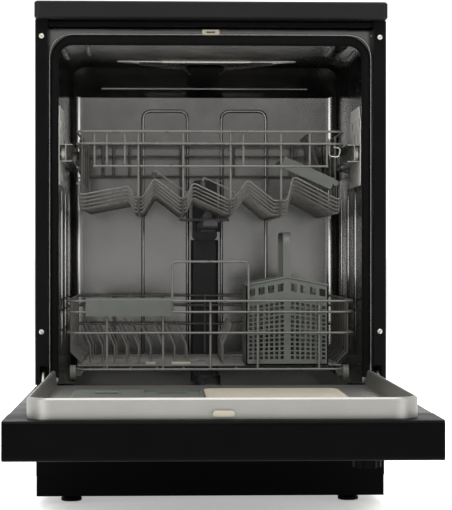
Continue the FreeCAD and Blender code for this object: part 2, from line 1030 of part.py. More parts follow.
# Hinge arm: steel lever in the door side with a boss at the pin and a tail into the cabinet slot
def hinge_arm():
    low = hinge_z - arm_width / 2
    high = hinge_z + arm_width / 2
    far = hinge_y - arm_length
    corners = [
        (far, low),
        (hinge_y + arm_width / 2, low, arm_width / 4),
        (hinge_y + arm_width, hinge_z, arm_width / 4),
        (arm_tail_y, hinge_z + arm_tail_z, arm_width / 4),
        (arm_tail_y - arm_width, hinge_z + arm_tail_z, arm_width / 4),
        (hinge_y - arm_width / 2, high, arm_width / 2),
        (far, high),
    ]
    arm = prism("yz", corners, arm_x, arm_x + arm_thickness)
    foot_end = half - door_side_gap - sheet - seat
    foot_plate = block(arm_x, foot_end, far, far + arm_width, low, high)
    bore = rod(vec(arm_x - past, hinge_y, hinge_z), vec(half, hinge_y, hinge_z), pin_radius + seat)
    return joined([arm, foot_plate]).cut(bore)


# Hinge bracket: plate standing on the base tray, with the pin that carries the arm
def hinge_bracket():
    x1 = arm_x - run
    x0 = x1 - arm_thickness
    corners = [
        (bracket_front, tray_top),
        (bracket_back, tray_top),
        (bracket_back, hinge_z + arm_width, arm_width),
        (bracket_front - arm_width, hinge_z + arm_width, arm_width / 2),
        (hinge_y, hinge_z + bracket_eye, arm_width / 2),
        (hinge_y - bracket_eye, hinge_z, arm_width / 2),
        (hinge_y, hinge_z - bracket_eye, arm_width / 2),
        (bracket_front, hinge_z - arm_width - bracket_drop, arm_width),
    ]
    web = prism("yz", corners, x0, x1)
    toe_end = half - 2 * sheet - 2 * seat
    toe = block(x0, toe_end, bracket_front, bracket_back, tray_top, tray_top + arm_thickness)
    head_x = arm_x + arm_thickness + run
    pin = rod(vec(x0, hinge_y, hinge_z), vec(head_x, hinge_y, hinge_z), pin_radius)
    head = rod(vec(head_x, hinge_y, hinge_z), vec(head_x + pin_head, hinge_y, hinge_z), pin_head_radius)
    return joined([web, toe, pin, head])


# Dispenser: moulded tray on the liner with a detergent cup, lid runners and the rinse-aid neck
def dispenser_body():
    near = -dispenser_near
    far = -dispenser_far
    body = plate("xy", dispenser_left, dispenser_right, far, near, dispenser_corner, liner_plate,
                 dispenser_top)
    crown = [edge for edge in body.Edges if abs(edge.BoundBox.ZMin - dispenser_top) < tiny]
    body = body.makeChamfer(cup_wall / 2, crown)
    floor = liner_plate + cup_wall / 2
    cup = plate("xy", *cup_place(), floor, dispenser_top + past)
    lid_floor = dispenser_top - lid_thickness - seat
    track = block(dispenser_split + cup_wall / 2, dispenser_right - cup_wall,
                  far + cup_wall, near - cup_wall, lid_floor, dispenser_top + past)
    x, y = cap_place()
    neck_floor = dispenser_top - cap_height - seat
    neck = rod(vec(x, y, neck_floor), vec(x, y, dispenser_top + past), cap_radius + run)
    stem = rod(vec(x, y, floor), vec(x, y, dispenser_top), cap_stem + run)
    return cut_all(body, [cup, track, neck, stem])


def cup_place():
    x0 = dispenser_split + cup_wall
    x1 = dispenser_right - 2 * cup_wall
    y0 = -dispenser_far + 2 * cup_wall
    return x0, x1, y0, y0 + lid_travel, cup_wall


def cap_place():
    return (dispenser_left + dispenser_split) / 2, -(dispenser_near + dispenser_far) / 2


# Sliding lid over the detergent cup, with a thumb ridge
def detergent_lid():
    x0 = dispenser_split + cup_wall / 2 + seat
    x1 = dispenser_right - cup_wall - seat
    y0 = -dispenser_far + cup_wall + seat
    y1 = y0 + lid_travel + 2 * cup_wall
    low = dispenser_top - lid_thickness
    lid = plate("xy", x0, x1, y0, y1, cup_wall / 2, low, low + lid_thickness)
    middle = (x0 + x1) / 2
    ridge = plate("xy", middle - cap_radius, middle + cap_radius, y1 - 2 * cup_wall, y1 - cup_wall,
                  cup_wall / 2 - weld, low, low + 2 * lid_thickness)
    return joined([lid, ridge])


# Rinse-aid cap: disc with a finger bar and a stem in the neck
def rinse_cap():
    x, y = cap_place()
    low = dispenser_top - cap_height
    stem_low = liner_plate + cup_wall
    corners = [(0, stem_low), (cap_stem, stem_low), (cap_stem, low), (cap_radius, low),
               (cap_radius, dispenser_top), (0, dispenser_top)]
    disc = turned(corners, vec(x, y, 0), vec(0, 0, 1), turn_sides)
    bar = plate("xy", x - cap_grip_length / 2, x + cap_grip_length / 2, y - cap_grip_width / 2,
                y + cap_grip_width / 2, cap_grip_width / 2 - weld, low, dispenser_top + cap_height)
    return joined([disc, bar])


# Feed duct on the back wall: upright run, floor run and docking mouth
def feed_duct():
    front = tub_back_y - duct_depth
    riser = prism(
        "xy",
        [(-duct_half, tub_back_y), (-duct_half, front, duct_round), (duct_half, front, duct_round),
         (duct_half, tub_back_y)],
        floor_middle + duct_lift, duct_top
    )
    run_low = floor_middle + 2 * run
    run_top = lower_arm_z - 2 * run
    floor_run = prism(
        "xz",
        [(-arm_half_width, run_low), (arm_half_width, run_low), (arm_half_width, run_top, duct_round / 2),
         (-arm_half_width, run_top, duct_round / 2)],
        sump_y + sump_radius + run, front - seat
    )
    mouth = plate("xz", -dock_half, dock_half, duct_top + seat, feed_z + dock_rise, duct_round,
                  dock_front, tub_back_y)
    socket = rod(vec(0, dock_front - past, feed_z), vec(0, tub_back_y - dock_wall, feed_z), feed_radius)
    return [riser, floor_run, mouth.cut(socket)]


# Side rails of the upper basket: two-sided channels that run between tub rollers and basket rollers
def slide_rail():
    low = slide_z - slide_height / 2
    high = slide_z + slide_height / 2
    web_out = slide_web + slide_sheet
    corners = [
        (slide_inner, low),
        (slide_outer, low),
        (slide_outer, low + slide_sheet),
        (web_out, low + slide_sheet),
        (web_out, high - slide_sheet),
        (slide_outer, high - slide_sheet),
        (slide_outer, high),
        (slide_inner, high),
        (slide_inner, high - slide_sheet),
        (slide_web, high - slide_sheet),
        (slide_web, low + slide_sheet),
        (slide_inner, low + slide_sheet),
    ]
    return prism("xz", corners, slide_front, slide_back)


# Roller: disc with a stub axle on one side
def roller(x0, x1, stub_end, y):
    disc = drum(vec(x0, y, slide_z), vec(x1, y, slide_z), roller_radius, turn_sides)
    near = x1 if stub_end > x1 else x0
    stub = drum(vec(near, y, slide_z), vec(stub_end, y, slide_z), roller_axle, small_sides)
    return joined([disc, stub])


def tub_rollers(y):
    inner = slide_web + slide_sheet + run
    right = roller(inner, inner + roller_width, tub_half + steel, y)
    return [right, mirrored(right)]


def basket_rollers(y):
    outer = slide_web - run
    right = roller(outer - roller_width, outer, upper_half + wire + seat, y)
    return [right, mirrored(right)]


# Bracket on each side of the upper basket that carries the roller axles
def roller_bracket():
    x0 = upper_half + wire + seat
    x1 = slide_inner - 2 * run
    near = basket_roller_y[0] - 2 * roller_radius
    far = basket_roller_y[1] + 2 * roller_radius
    low = upper_rails_z[2] - 2 * wire
    high = upper_rails_z[0] + wire
    body = prism(
        "yz",
        [(near, low), (far, low), (far, slide_z + slide_height),
         (near + roller_radius, high, roller_radius), (near, slide_z)],
        x0, x1
    )
    tools = []
    for y in basket_roller_y:
        tools.append(rod(vec(x0 - past, y, slide_z), vec(x1 + past, y, slide_z), roller_axle + seat))
    middle = sum(basket_roller_y) / 2
    tools.append(block(x0 - past, x1 + past, middle - 2 * roller_radius, middle + 2 * roller_radius,
                       slide_z - roller_radius, slide_z + roller_radius))
    return cut_all(body, tools)


# Upper basket floor: zigzag wires across, the front ones stepping down, on runners front to back
def zigzag_points(drop):
    side = upper_half - wire - fine_wire - weld
    low = floor_base - drop
    points = [(-side, floor_base + floor_hem), (-side, low + floor_edge_rise[0])]
    for i, (share, rise) in enumerate(zip(peak_share, peak_rise)):
        points.append((share * upper_half, low + rise))
        if i < len(valley_share):
            for valley in valley_share[i]:
                points.append((valley * upper_half, low + valley_rise[i]))
    points.append((side, low + floor_edge_rise[1]))
    points.append((side, floor_base + floor_hem))
    return points


def step_places():
    # Place and drop of each wire in the stepped front of the floor
    first = basket_front + floor_inset
    return [(first + i * step_pitch, floor_drop * i / (step_rows - 1)) for i in range(step_rows)]


def level_pitch():
    return (basket_back - floor_inset - step_places()[-1][0]) / level_rows


def level_places():
    start = step_places()[-1][0]
    return [start + (i + 1) * level_pitch() for i in range(level_rows)]


def valleys():
    # Middle and height of each valley in the foremost wire
    middles = [sum(pair) / 2 * upper_half for pair in valley_share]
    return [(x, floor_base + rise) for x, rise in zip(middles, valley_rise)]


def runner_route(z):
    # Height and place of a runner's two ends and its bend, under a valley at height z
    first = step_places()[0][0]
    fall = floor_drop / ((step_rows - 1) * step_pitch)
    stretch = math.sqrt(1 + fall * fall)
    gap = fine_wire + wire + weld
    near = basket_front + 3 * wire + 2 * weld + wire * fall / stretch
    far = basket_back - 3 * wire - 2 * weld
    bend = first + (floor_drop + gap - gap * stretch) / fall
    near_z = z + fall * (first - near) - gap * stretch
    return [(near, near_z), (bend, z - floor_drop - gap), (far, z - floor_drop - gap)]


def upper_basket_floor():
    wires = []
    for y, drop in step_places() + [(y, floor_drop) for y in level_places()]:
        wires.append(bent_wire([vec(x, y, z) for x, z in zigzag_points(drop)], fine_wire, 0))
    for x, z in valleys():
        wires.append(bent_wire([vec(x, y, level) for y, level in runner_route(z)], wire, 0))
    return wires


# Rail across the front or back of a basket, with its bent ends
def cross_rail(wide, y, turn, z):
    end = y + turn * (rail_bend + rail_tail)
    points = [vec(-wide, end, z), vec(-wide, y, z), vec(wide, y, z), vec(wide, end, z)]
    return bent_wire(points, wire, rail_bend)


def side_rail(x, z):
    inset = rail_bend + rail_tail + weld
    return straight_wire(vec(x, basket_front + inset, z), vec(x, basket_back - inset, z), wire)


def rail_ring(wide, z):
    # Four rails round a basket at one height
    rails = [cross_rail(wide, basket_front, 1, z), cross_rail(wide, basket_back, -1, z)]
    return rails + [side_rail(-wide, z), side_rail(wide, z)]


def upright(x, y, z0, z1):
    return straight_wire(vec(x, y, z0), vec(x, y, z1), wire)


# Upper basket walls: rails on four sides with upright wires inside them
def upper_basket_walls():
    wires = []
    for z in upper_rails_z:
        wires.extend(rail_ring(upper_half, z))
    step = 2 * wire + weld
    top = upper_rails_z[0]
    hem_z = floor_base + floor_hem - 2 * wire
    for side in (-1, 1):
        wires.append(side_rail(side * upper_half, hem_z))
        for y in level_places()[:-1:2]:
            wires.append(upright(side * (upper_half - step), y + level_pitch() / 2, hem_z - wire, top))
    low = upper_rails_z[2] - wire
    for y, end in ((basket_front + step, 0), (basket_back - step, -1)):
        for x, z in valleys():
            wires.append(upright(x, y, runner_route(z)[end][1] - wire, top))
        for share in upper_upright_share:
            wires.append(upright(share * upper_half, y, low, top))
    return wires


# Feed pipe under the upper basket with its flared mouth, hub and saddle
def upper_feed_pipe():
    mouth_y = dock_front - 2 * seat
    length = mouth_y - arm_axis_y
    corners = [(0, 0), (feed_radius, 0), (feed_radius, length - feed_flare),
               (feed_radius + dock_wall, length), (0, length)]
    pipe = turned(corners, vec(0, arm_axis_y, feed_z), vec(0, 1, 0), turn_sides)
    hub = drum(vec(0, arm_axis_y, upper_arm_z + arm_height + seat), vec(0, arm_axis_y, feed_z + dock_wall),
               hub_bore + dock_wall, turn_sides)
    carriers = valleys()[1:3]
    top = min(runner_route(z)[-1][1] for x, z in carriers) - wire - seat
    saddle = plate("xy", carriers[0][0] - 2 * wire, carriers[1][0] + 2 * wire, arm_axis_y - hub_radius,
                   arm_axis_y + hub_radius, 2 * wire, top - dock_wall, top)
    bore = rod(vec(0, arm_axis_y, upper_arm_z), vec(0, arm_axis_y, feed_z), pivot_radius)
    return joined([pipe, hub, saddle]).cut(bore)


# Spray arm: tapered blade with bevelled rims and jets, turning on its hub
def spray_arm(z, hub_low, hub_top):
    y = arm_axis_y
    corners = [
        (-arm_tip, y - arm_radius),
        (arm_tip, y - arm_radius),
        (arm_half_width, y),
        (arm_tip, y + arm_radius),
        (-arm_tip, y + arm_radius),
        (-arm_half_width, y),
    ]
    blade = prism("xy", corners, z, z + arm_height)
    rims = [edge for edge in blade.Edges if edge.BoundBox.ZLength < tiny]
    blade = blade.makeChamfer(arm_bevel, rims)
    hub = drum(vec(0, y, hub_low), vec(0, y, hub_top), hub_radius, turn_sides)
    jets = []
    for i in range(jet_count):
        for side in (-1, 1):
            x = side * jet_side
            jet_y = y + side * (jet_start + i * jet_pitch)
            jets.append(block(x - jet_half, x + jet_half, jet_y - jet_half, jet_y + jet_half,
                              z + arm_height / 2, z + arm_height + past))
    return cut_all(joined([blade, hub]), jets)


def upper_spray_arm():
    top = upper_arm_z + arm_height
    arm = spray_arm(upper_arm_z, upper_arm_z - hub_rise, top)
    pin_top = feed_z - dock_wall
    pin = drum(vec(0, arm_axis_y, top), vec(0, arm_axis_y, pin_top), pivot_radius - seat, small_sides)
    return joined([arm, pin])


def lower_spray_arm():
    arm = spray_arm(lower_arm_z, lower_arm_z, lower_arm_z + arm_height + hub_rise)
    bore = rod(vec(0, arm_axis_y, lower_arm_z - past), vec(0, arm_axis_y, lower_arm_z + arm_height),
               pivot_radius + seat)
    return arm.cut(bore)


# Folding cup shelf: slatted board on a barrel at the right side of the upper basket
def cup_shelf(near, far):
    x1 = shelf_hinge_x
    x0 = x1 - shelf_span
    z = shelf_hinge_z
    under = z - shelf_thickness / 2
    board = plate("xy", x0, x1, near, far, 2 * shelf_thickness, under, under + shelf_thickness)
    lip = block(x0 + shelf_thickness, x0 + 2 * shelf_thickness, near + shelf_slot_margin,
                far - shelf_slot_margin, z, z + 2 * shelf_thickness)
    barrel = rod(vec(x1, near, z), vec(x1, far, z), shelf_barrel)
    pitch = (far - near - 2 * shelf_slot_margin) / shelf_slots
    slots = []
    for i in range(shelf_slots):
        y = near + shelf_slot_margin + pitch * (i + 1) - pitch / 2
        slots.append(block(x0 + 3 * shelf_thickness, x1 - 2 * shelf_barrel, y - shelf_slot_width / 2,
                           y + shelf_slot_width / 2, under - past, under + shelf_thickness + past))
    return cut_all(joined([board, lip, barrel]), slots)


def tilted(shelf, tilt):
    turned_shelf = shelf.copy()
    turned_shelf.rotate(vec(shelf_hinge_x, 0, shelf_hinge_z), vec(0, 1, 0), tilt)
    return turned_shelf


def cup_shelf_front():
    band = block(shelf_hinge_x - shelf_span + shelf_thickness, shelf_hinge_x - shelf_thickness, shelf_near,
                 shelf_near + band_thickness, shelf_hinge_z - band_down, shelf_hinge_z + band_up)
    shelf = joined([cup_shelf(shelf_near, shelf_near + shelf_length), band])
    return tilted(shelf, shelf_tilt)


def cup_shelf_rear():
    return tilted(cup_shelf(shelf_rear_near, shelf_rear_near + shelf_rear_length), shelf_rear_tilt)


# Lower basket floor: wires front to back with cross wires welded on top
def lower_basket_floor():
    wires = []
    near = basket_front + 2 * wire + weld
    far = basket_back - 2 * wire - weld
    pitch = 2 * lower_foot_half / (lower_floor_x_count + 1)
    for i in range(lower_floor_x_count):
        x = -lower_foot_half + pitch * (i + 1)
        wires.append(straight_wire(vec(x, near, lower_floor_z), vec(x, far, lower_floor_z), wire))
    for y in lower_cross_rows():
        start = vec(-lower_foot_half, y, lower_floor_top)
        wires.append(straight_wire(start, vec(lower_foot_half, y, lower_floor_top), wire))
    return wires


def lower_cross_pitch():
    return (basket_back - basket_front - 2 * rail_bend) / lower_floor_y_count


def lower_cross_rows():
    first = basket_front + rail_bend + lower_cross_pitch() / 2
    return [first + i * lower_cross_pitch() for i in range(lower_floor_y_count)]


# Lower basket walls: rails, kinked side wires, front uprights and the handle loop
def lower_basket_walls():
    wires = []
    for z in lower_rails_z:
        wires.extend(rail_ring(lower_half, z))
    wires.extend(rail_ring(lower_foot_half, lower_floor_z))
    step = 2 * wire + weld
    top = lower_rails_z[0]
    for side in (-1, 1):
        wide_x = side * (lower_half - step)
        foot_x_in = side * (lower_foot_half - step)
        line = [(wide_x, top), (wide_x, lower_floor_z + kink_top_rise),
                (foot_x_in, lower_floor_z + kink_bottom_rise), (foot_x_in, lower_floor_z)]
        for y in lower_cross_rows()[:-1]:
            wires.append(bent_wire([vec(x, y + lower_cross_pitch() / 2, z) for x, z in line], wire, 0))
    for y in (basket_front + step, basket_back - step):
        for x in lower_upright_x:
            wires.append(upright(x, y, lower_floor_z + 2 * step, top))
    loop_y = basket_front + step
    loop_low = lower_rails_z[1] - wire
    loop_top = top + handle_loop_rise
    loop = [
        vec(-handle_loop_half, loop_y, loop_low),
        vec(-handle_loop_half, loop_y, loop_top),
        vec(handle_loop_half, loop_y, loop_top),
        vec(handle_loop_half, loop_y, loop_low),
    ]
    wires.append(bent_wire(loop, wire, loop_bend))
    return wires


# Clip-on plate on the front rails of the lower basket, hooked over the top rail
def basket_plate():
    back = basket_front - wire - seat
    front = back - plate_thickness
    hook = basket_front + wire + seat
    low = lower_rails_z[1] - plate_skirt
    top = lower_rails_z[0] + plate_crown
    corners = [
        (front, low),
        (front, top, plate_thickness),
        (hook + plate_thickness, top, plate_thickness),
        (hook + plate_thickness, top - 2 * plate_thickness),
        (hook, top - 2 * plate_thickness),
        (hook, top - plate_thickness + seat),
        (back, top - plate_thickness + seat),
        (back, low),
    ]
    body = prism("yz", corners, plate_left, plate_left + plate_width)
    clear = []
    for x in lower_upright_x + [-handle_loop_half]:
        clear.append(block(x - wire - run, x + wire + run, back + run, hook + plate_thickness + past,
                           low, top + past))
    return cut_all(body, clear)


# Basket wheel: dished disc on a stub axle that runs in a clip under the lowest rail
def basket_wheels(y):
    inner = wheel_x - wheel_width / 2
    dish = wheel_width / 4
    corners = [(0, 0), (wheel_radius, 0), (wheel_radius, wheel_width), (wheel_radius - dish, wheel_width),
               (axle_radius, wheel_width - dish), (0, wheel_width - dish)]
    disc = turned(corners, vec(inner, y, wheel_z), vec(1, 0, 0), turn_sides)
    stub = drum(vec(inner - axle_length, y, wheel_z), vec(inner, y, wheel_z), axle_radius, small_sides)
    right = joined([disc, stub])
    return [right, mirrored(right)]


def wheel_clip(y):
    # Clip hanging from the lowest side rail, with the bore of the stub axle
    outer = wheel_x - wheel_width / 2 - run
    inner = outer - clip_thickness
    top = lower_floor_z - wire - seat
    low = wheel_z - clip_foot
    body = prism(
        "yz",
        [(y - clip_half, top), (y + clip_half, top), (y + clip_foot, low), (y - clip_foot, low)],
        inner, outer
    )
    bore = rod(vec(inner - past, y, wheel_z), vec(outer + past, y, wheel_z), axle_radius + seat)
    return body.cut(bore)


def wheel_clips():
    clips = []
    for y in (wheel_front_y, wheel_rear_y):
        clips.append(wheel_clip(y))
        clips.append(mirrored(wheel_clip(y)))
    return clips


# Plate tine: it stands on a wire and then leans sideways
def tine(x, y, foot_z, lean):
    points = [
        vec(x, y, foot_z),
        vec(x, y, foot_z + tine_low),
        vec(x + lean, y, foot_z + tine_low + tine_high),
    ]
    return bent_wire(points, tine_radius, 0)


# Row of tines on its own rail, front to back
def tine_row(x, lean, places, rail):
    end = tine_pitch / 4
    wires = [rail(vec(x, places[0] - end, tine_axis_z), vec(x, places[-1] + end, tine_axis_z), wire)]
    wires.extend(tine(x, y, tine_axis_z + wire + weld, lean) for y in places)
    return wires


def tine_places():
    return [basket_front + tine_inset + i * tine_pitch for i in range(tine_count)]


# Fixed tines: plate rows across the basket on every third cross wire, and one short row behind the cutlery
def fixed_tines():
    wires = []
    for y in lower_cross_rows()[tine_first_row::tine_row_step]:
        for i in range(tine_columns):
            x = folding_tine_x - tine_aisle - i * tine_column_pitch
            wires.append(tine(x, y, lower_floor_top + wire + weld, -tine_lean))
    behind = [y for y in tine_places() if y > cutlery_back_y + tine_pitch / 2]
    wires.extend(tine_row(lower_foot_half - side_tine_inset, tine_lean, behind, straight_wire))
    return wires


# Folding row: its rail is a round rod that the row turns on
def folding_tines():
    places = [y + tine_pitch / 2 for y in tine_places()]
    return tine_row(folding_tine_x, tine_lean, places, rod)


# Cutlery basket: two slotted cells under a pitched rim, and an arched strap
def cutlery_basket():
    x0 = cutlery_left
    x1 = cutlery_right
    y0 = cutlery_front_y
    y1 = cutlery_back_y
    wall = cutlery_wall
    outer = prism(
        "xz",
        [(x0, cutlery_low), (x1, cutlery_low), (x1, cutlery_side_top), (cutlery_middle, cutlery_apex),
         (x0, cutlery_side_top)],
        y0, y1
    )
    cells = []
    for a, b in ((x0 + wall, cutlery_middle - wall / 2), (cutlery_middle + wall / 2, x1 - wall)):
        cells.append(block(a, b, y0 + wall, y1 - wall, cutlery_low + wall, cutlery_apex + past))
    body = cut_all(outer, cells + cutlery_slots())
    strap_low = cutlery_apex - 2 * strap_width
    near = y0 + wall
    far = y1 - wall
    inner_top = strap_top - strap_thickness
    inner_bend = strap_bend - strap_thickness
    arch = prism(
        "yz",
        [(near, strap_low), (near, strap_top, strap_bend), (far, strap_top, strap_bend), (far, strap_low),
         (far - strap_thickness, strap_low), (far - strap_thickness, inner_top, inner_bend),
         (near + strap_thickness, inner_top, inner_bend), (near + strap_thickness, strap_low)],
        cutlery_middle - strap_width / 2, cutlery_middle + strap_width / 2
    )
    return joined([body, arch])


def cutlery_slots():
    # Tall slots under a row of small windows, through front and back, left and right of a smooth post
    side_width = (cutlery_width - post_width) / 2 - 2 * cutlery_wall
    window_low = cutlery_side_top - window_gap - window_height
    rows = [
        (slot_count, cutlery_low + cutlery_band, window_low - window_gap),
        (window_count, window_low, window_low + window_height),
    ]
    slots = []
    for count, low, high in rows:
        pitch = (side_width + window_gap) / count
        for start in (cutlery_left + 2 * cutlery_wall, cutlery_middle + post_width / 2):
            for i in range(count):
                x = start + i * pitch
                slots.append(block(x, x + pitch - window_gap, cutlery_front_y - past, cutlery_back_y + past,
                                   low, high))
    return slots


# Sump: cup under the tub floor on a leg, with the hollow tower of the lower spray arm
def sump():
    top = sump_rim - seat
    inner = sump_radius - sump_wall
    cup = turned(
        [(0, sump_low), (inner, sump_low), (sump_radius, sump_low + sump_foot), (sump_radius, top),
         (inner, top), (inner, sump_low + sump_foot), (inner - sump_wall, sump_low + sump_wall),
         (0, sump_low + sump_wall)],
        vec(0, sump_y, 0), vec(0, 0, 1), turn_sides
    )
    floor = sump_low + sump_wall / 2
    tower = drum(vec(0, arm_axis_y, floor), vec(0, arm_axis_y, lower_arm_z - seat), hub_bore, turn_sides)
    pivot = rod(vec(0, arm_axis_y, lower_arm_z - run), vec(0, arm_axis_y, lower_arm_z + arm_height - run),
                pivot_radius)
    leg = turned(
        [(0, tray_top), (sump_foot, tray_top), (sump_leg, floor), (0, floor)],
        vec(0, sump_y, 0), vec(0, 0, 1), turn_sides
    )
    return joined([cup, tower, pivot, leg])


# Coarse filter: slotted steel disc on the sump rim
def coarse_filter():
    top = sump_rim + plate_sheet
    disc = drum(vec(0, sump_y, sump_rim), vec(0, sump_y, top), sump_radius, turn_sides)
    holes = [
        rod(vec(0, filter_y, sump_rim - past), vec(0, filter_y, top + past), filter_radius + filter_gap),
        rod(vec(0, arm_axis_y, sump_rim - past), vec(0, arm_axis_y, top + past), hub_bore + run),
    ]
    for i in range(plate_slots):
        slot = block(plate_slot_start, sump_radius - 2 * sump_wall, -plate_slot / 2, plate_slot / 2,
                     sump_rim - past, top + past)
        slot.translate(vec(0, sump_y, 0))
        slot.rotate(vec(0, sump_y, 0), vec(0, 0, 1), 360 * i / plate_slots)
        holes.append(slot)
    return cut_all(disc, holes)


# Filter cylinder: fine mesh cup with a rim and a grip bar
def filter_cylinder():
    rim_low = sump_rim + plate_sheet + seat
    bottom = rim_low - filter_depth
    inner = filter_radius - filter_wall
    lip = filter_radius + filter_lip
    cup = turned(
        [(0, bottom), (filter_radius, bottom), (filter_radius, rim_low), (lip, rim_low), (lip, filter_top),
         (inner, filter_top), (inner, bottom + filter_wall), (0, bottom + filter_wall)],
        vec(0, filter_y, 0), vec(0, 0, 1), turn_sides
    )
    bar = block(-inner - seat, inner + seat, filter_y - filter_grip / 2, filter_y + filter_grip / 2,
                filter_top - 2 * filter_wall, filter_top + filter_wall)
    return joined([cup, bar])


# Circulation pump and drain pump: turned housings on feet
def pumps():
    wash = turned(
        [(0, 0), (pump_neck, 0), (pump_neck, pump_neck_length),
         (pump_radius, pump_neck_length + pump_shoulder),
         (pump_radius, pump_length - pump_shoulder), (pump_radius - pump_shoulder, pump_length),
         (0, pump_length)],
        vec(pump_x, pump_y, pump_z), vec(1, 0, 0), turn_sides
    )
    wash_foot = block(pump_x + pump_neck_length + pump_shoulder, pump_x + pump_length - pump_shoulder,
                      pump_y - pump_radius / 2, pump_y + pump_radius / 2, tray_top,
                      pump_z - pump_radius / 2)
    drain_z = tray_top + drain_radius + 2 * sump_wall
    drain_x = -sump_radius - drain_radius
    drain = turned(
        [(0, 0), (drain_radius, 0), (drain_radius, drain_neck_start),
         (drain_neck, drain_neck_start + pump_shoulder), (drain_neck, drain_length), (0, drain_length)],
        vec(drain_x, sump_y, drain_z), vec(-1, 0, 0), turn_sides
    )
    drain_foot = block(drain_x - drain_neck_start, drain_x - sump_wall, sump_y - drain_radius / 2,
                       sump_y + drain_radius / 2, tray_top, drain_z - drain_radius / 2)
    return [joined([wash, wash_foot]), joined([drain, drain_foot])]


# Drain spigot: collared nipple on the rear wall of the base tray
def drain_spigot():
    start = vec(drain_spigot_x, base_back, rear_mount_z)
    shoulder = start + vec(0, sump_wall, 0)
    end = start + vec(0, spigot_length, 0)
    collar = drum(start, shoulder, drain_collar, turn_sides)
    nipple = rod(shoulder, end, drain_spigot_radius)
    bore = drum(shoulder, end + vec(0, past, 0), drain_bore, small_sides)
    return joined([collar, nipple]).cut(bore)


# Inlet valve: block on the base tray with its coil and the hose spigot
def inlet_valve():
    back = base_back - sheet - seat
    wide = valve_body / 2
    body = block(valve_x - wide, valve_x + wide, back - valve_body, back, tray_top, spigot_z + wide)
    mouth = vec(valve_x, back, spigot_z)
    spigot = rod(mouth, mouth + vec(0, spigot_length, 0), inlet_radius)
    bore = drum(mouth, mouth + vec(0, spigot_length + past, 0), inlet_radius - sump_wall, small_sides)
    coil_foot = vec(valve_x, back - wide, spigot_z + wide)
    coil = drum(coil_foot, coil_foot + vec(0, 0, valve_coil), valve_coil, small_sides)
    return joined([body, spigot, coil]).cut(bore)


# Mains cable gland: stepped bush on the rear wall of the base tray
def mains_inlet():
    start = vec(gland_x, base_back, rear_mount_z)
    shoulder = gland_length / 3
    corners = [(0, 0), (gland_radius, 0), (gland_radius, shoulder), (gland_neck, 2 * shoulder),
               (gland_neck, gland_length), (0, gland_length)]
    bush = turned(corners, start, vec(0, 1, 0), turn_sides)
    return bush.cut(rod(start - vec(0, past, 0), start + vec(0, gland_length + past, 0), gland_bore))


save("worktop", [worktop()])
save("side_panel_right", [side_panel()])
save("side_panel_left", [mirrored(side_panel())])
save("back_panel", [back_panel()])
save("top_rail", [top_rail()])
save("base_tray", [base_tray()])
save("plinth", [plinth()])
foot_names = ("foot_front_left", "foot_front_right", "foot_rear_left", "foot_rear_right")
for foot_name, (foot_at_x, foot_at_y) in zip(foot_names, foot_places()):
    save(foot_name, [foot(foot_at_x, foot_at_y)])

save("tub_walls", [tub_wall(), mirrored(tub_wall())])
save("tub_ceiling", [tub_ceiling()])
save("tub_back", [tub_back()])
save("tub_floor", [tub_floor()])
save("tub_flange", [tub_flange()])
save("gasket", [gasket()])
save("latch_striker", [latch_striker()])

save("door_outer_panel", [door_outer_panel()])
save("door_liner", [door_liner()])
save("console", [console()])
save("latch_bolt", [latch_bolt()])
save("power_button", [push_button(power_x)])
save("start_button", [push_button(start_x)])
save("programme_knob", [programme_knob()])
save("hinge_arms", [hinge_arm(), mirrored(hinge_arm())])
save("hinge_brackets", [hinge_bracket(), mirrored(hinge_bracket())])
save("dispenser_body", [dispenser_body()])
save("detergent_lid", [detergent_lid()])
save("rinse_cap", [rinse_cap()])

save("feed_duct", feed_duct())
save("upper_rails", [slide_rail(), mirrored(slide_rail())])
save("tub_rollers_front", tub_rollers(tub_roller_y[0]))
save("tub_rollers_rear", tub_rollers(tub_roller_y[1]))
save("basket_rollers_front", basket_rollers(basket_roller_y[0]))
save("basket_rollers_rear", basket_rollers(basket_roller_y[1]))
save("roller_brackets", [roller_bracket(), mirrored(roller_bracket())])
save("upper_basket_floor", upper_basket_floor())
save("upper_basket_walls", upper_basket_walls())
save("upper_feed_pipe", [upper_feed_pipe()])
save("upper_spray_arm", [upper_spray_arm()])
save("cup_shelf_front", [cup_shelf_front()])
save("cup_shelf_rear", [cup_shelf_rear()])

save("lower_basket_floor", lower_basket_floor())
save("lower_basket_walls", lower_basket_walls())
save("basket_plate", [basket_plate()])
save("wheels_front", basket_wheels(wheel_front_y))
save("wheels_rear", basket_wheels(wheel_rear_y))
save("wheel_clips", wheel_clips())
save("fixed_tines", fixed_tines())
save("folding_tines", folding_tines())
save("cutlery_basket", [cutlery_basket()])

save("lower_spray_arm", [lower_spray_arm()])
save("sump", [sump()])
save("coarse_filter", [coarse_filter()])
save("filter_cylinder", [filter_cylinder()])
save("pumps", pumps())
save("drain_spigot", [drain_spigot()])
save("inlet_valve", [inlet_valve()])
save("mains_inlet", [mains_inlet()])
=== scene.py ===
import json
import math

import bmesh
import bpy
from mathutils import Matrix, Vector


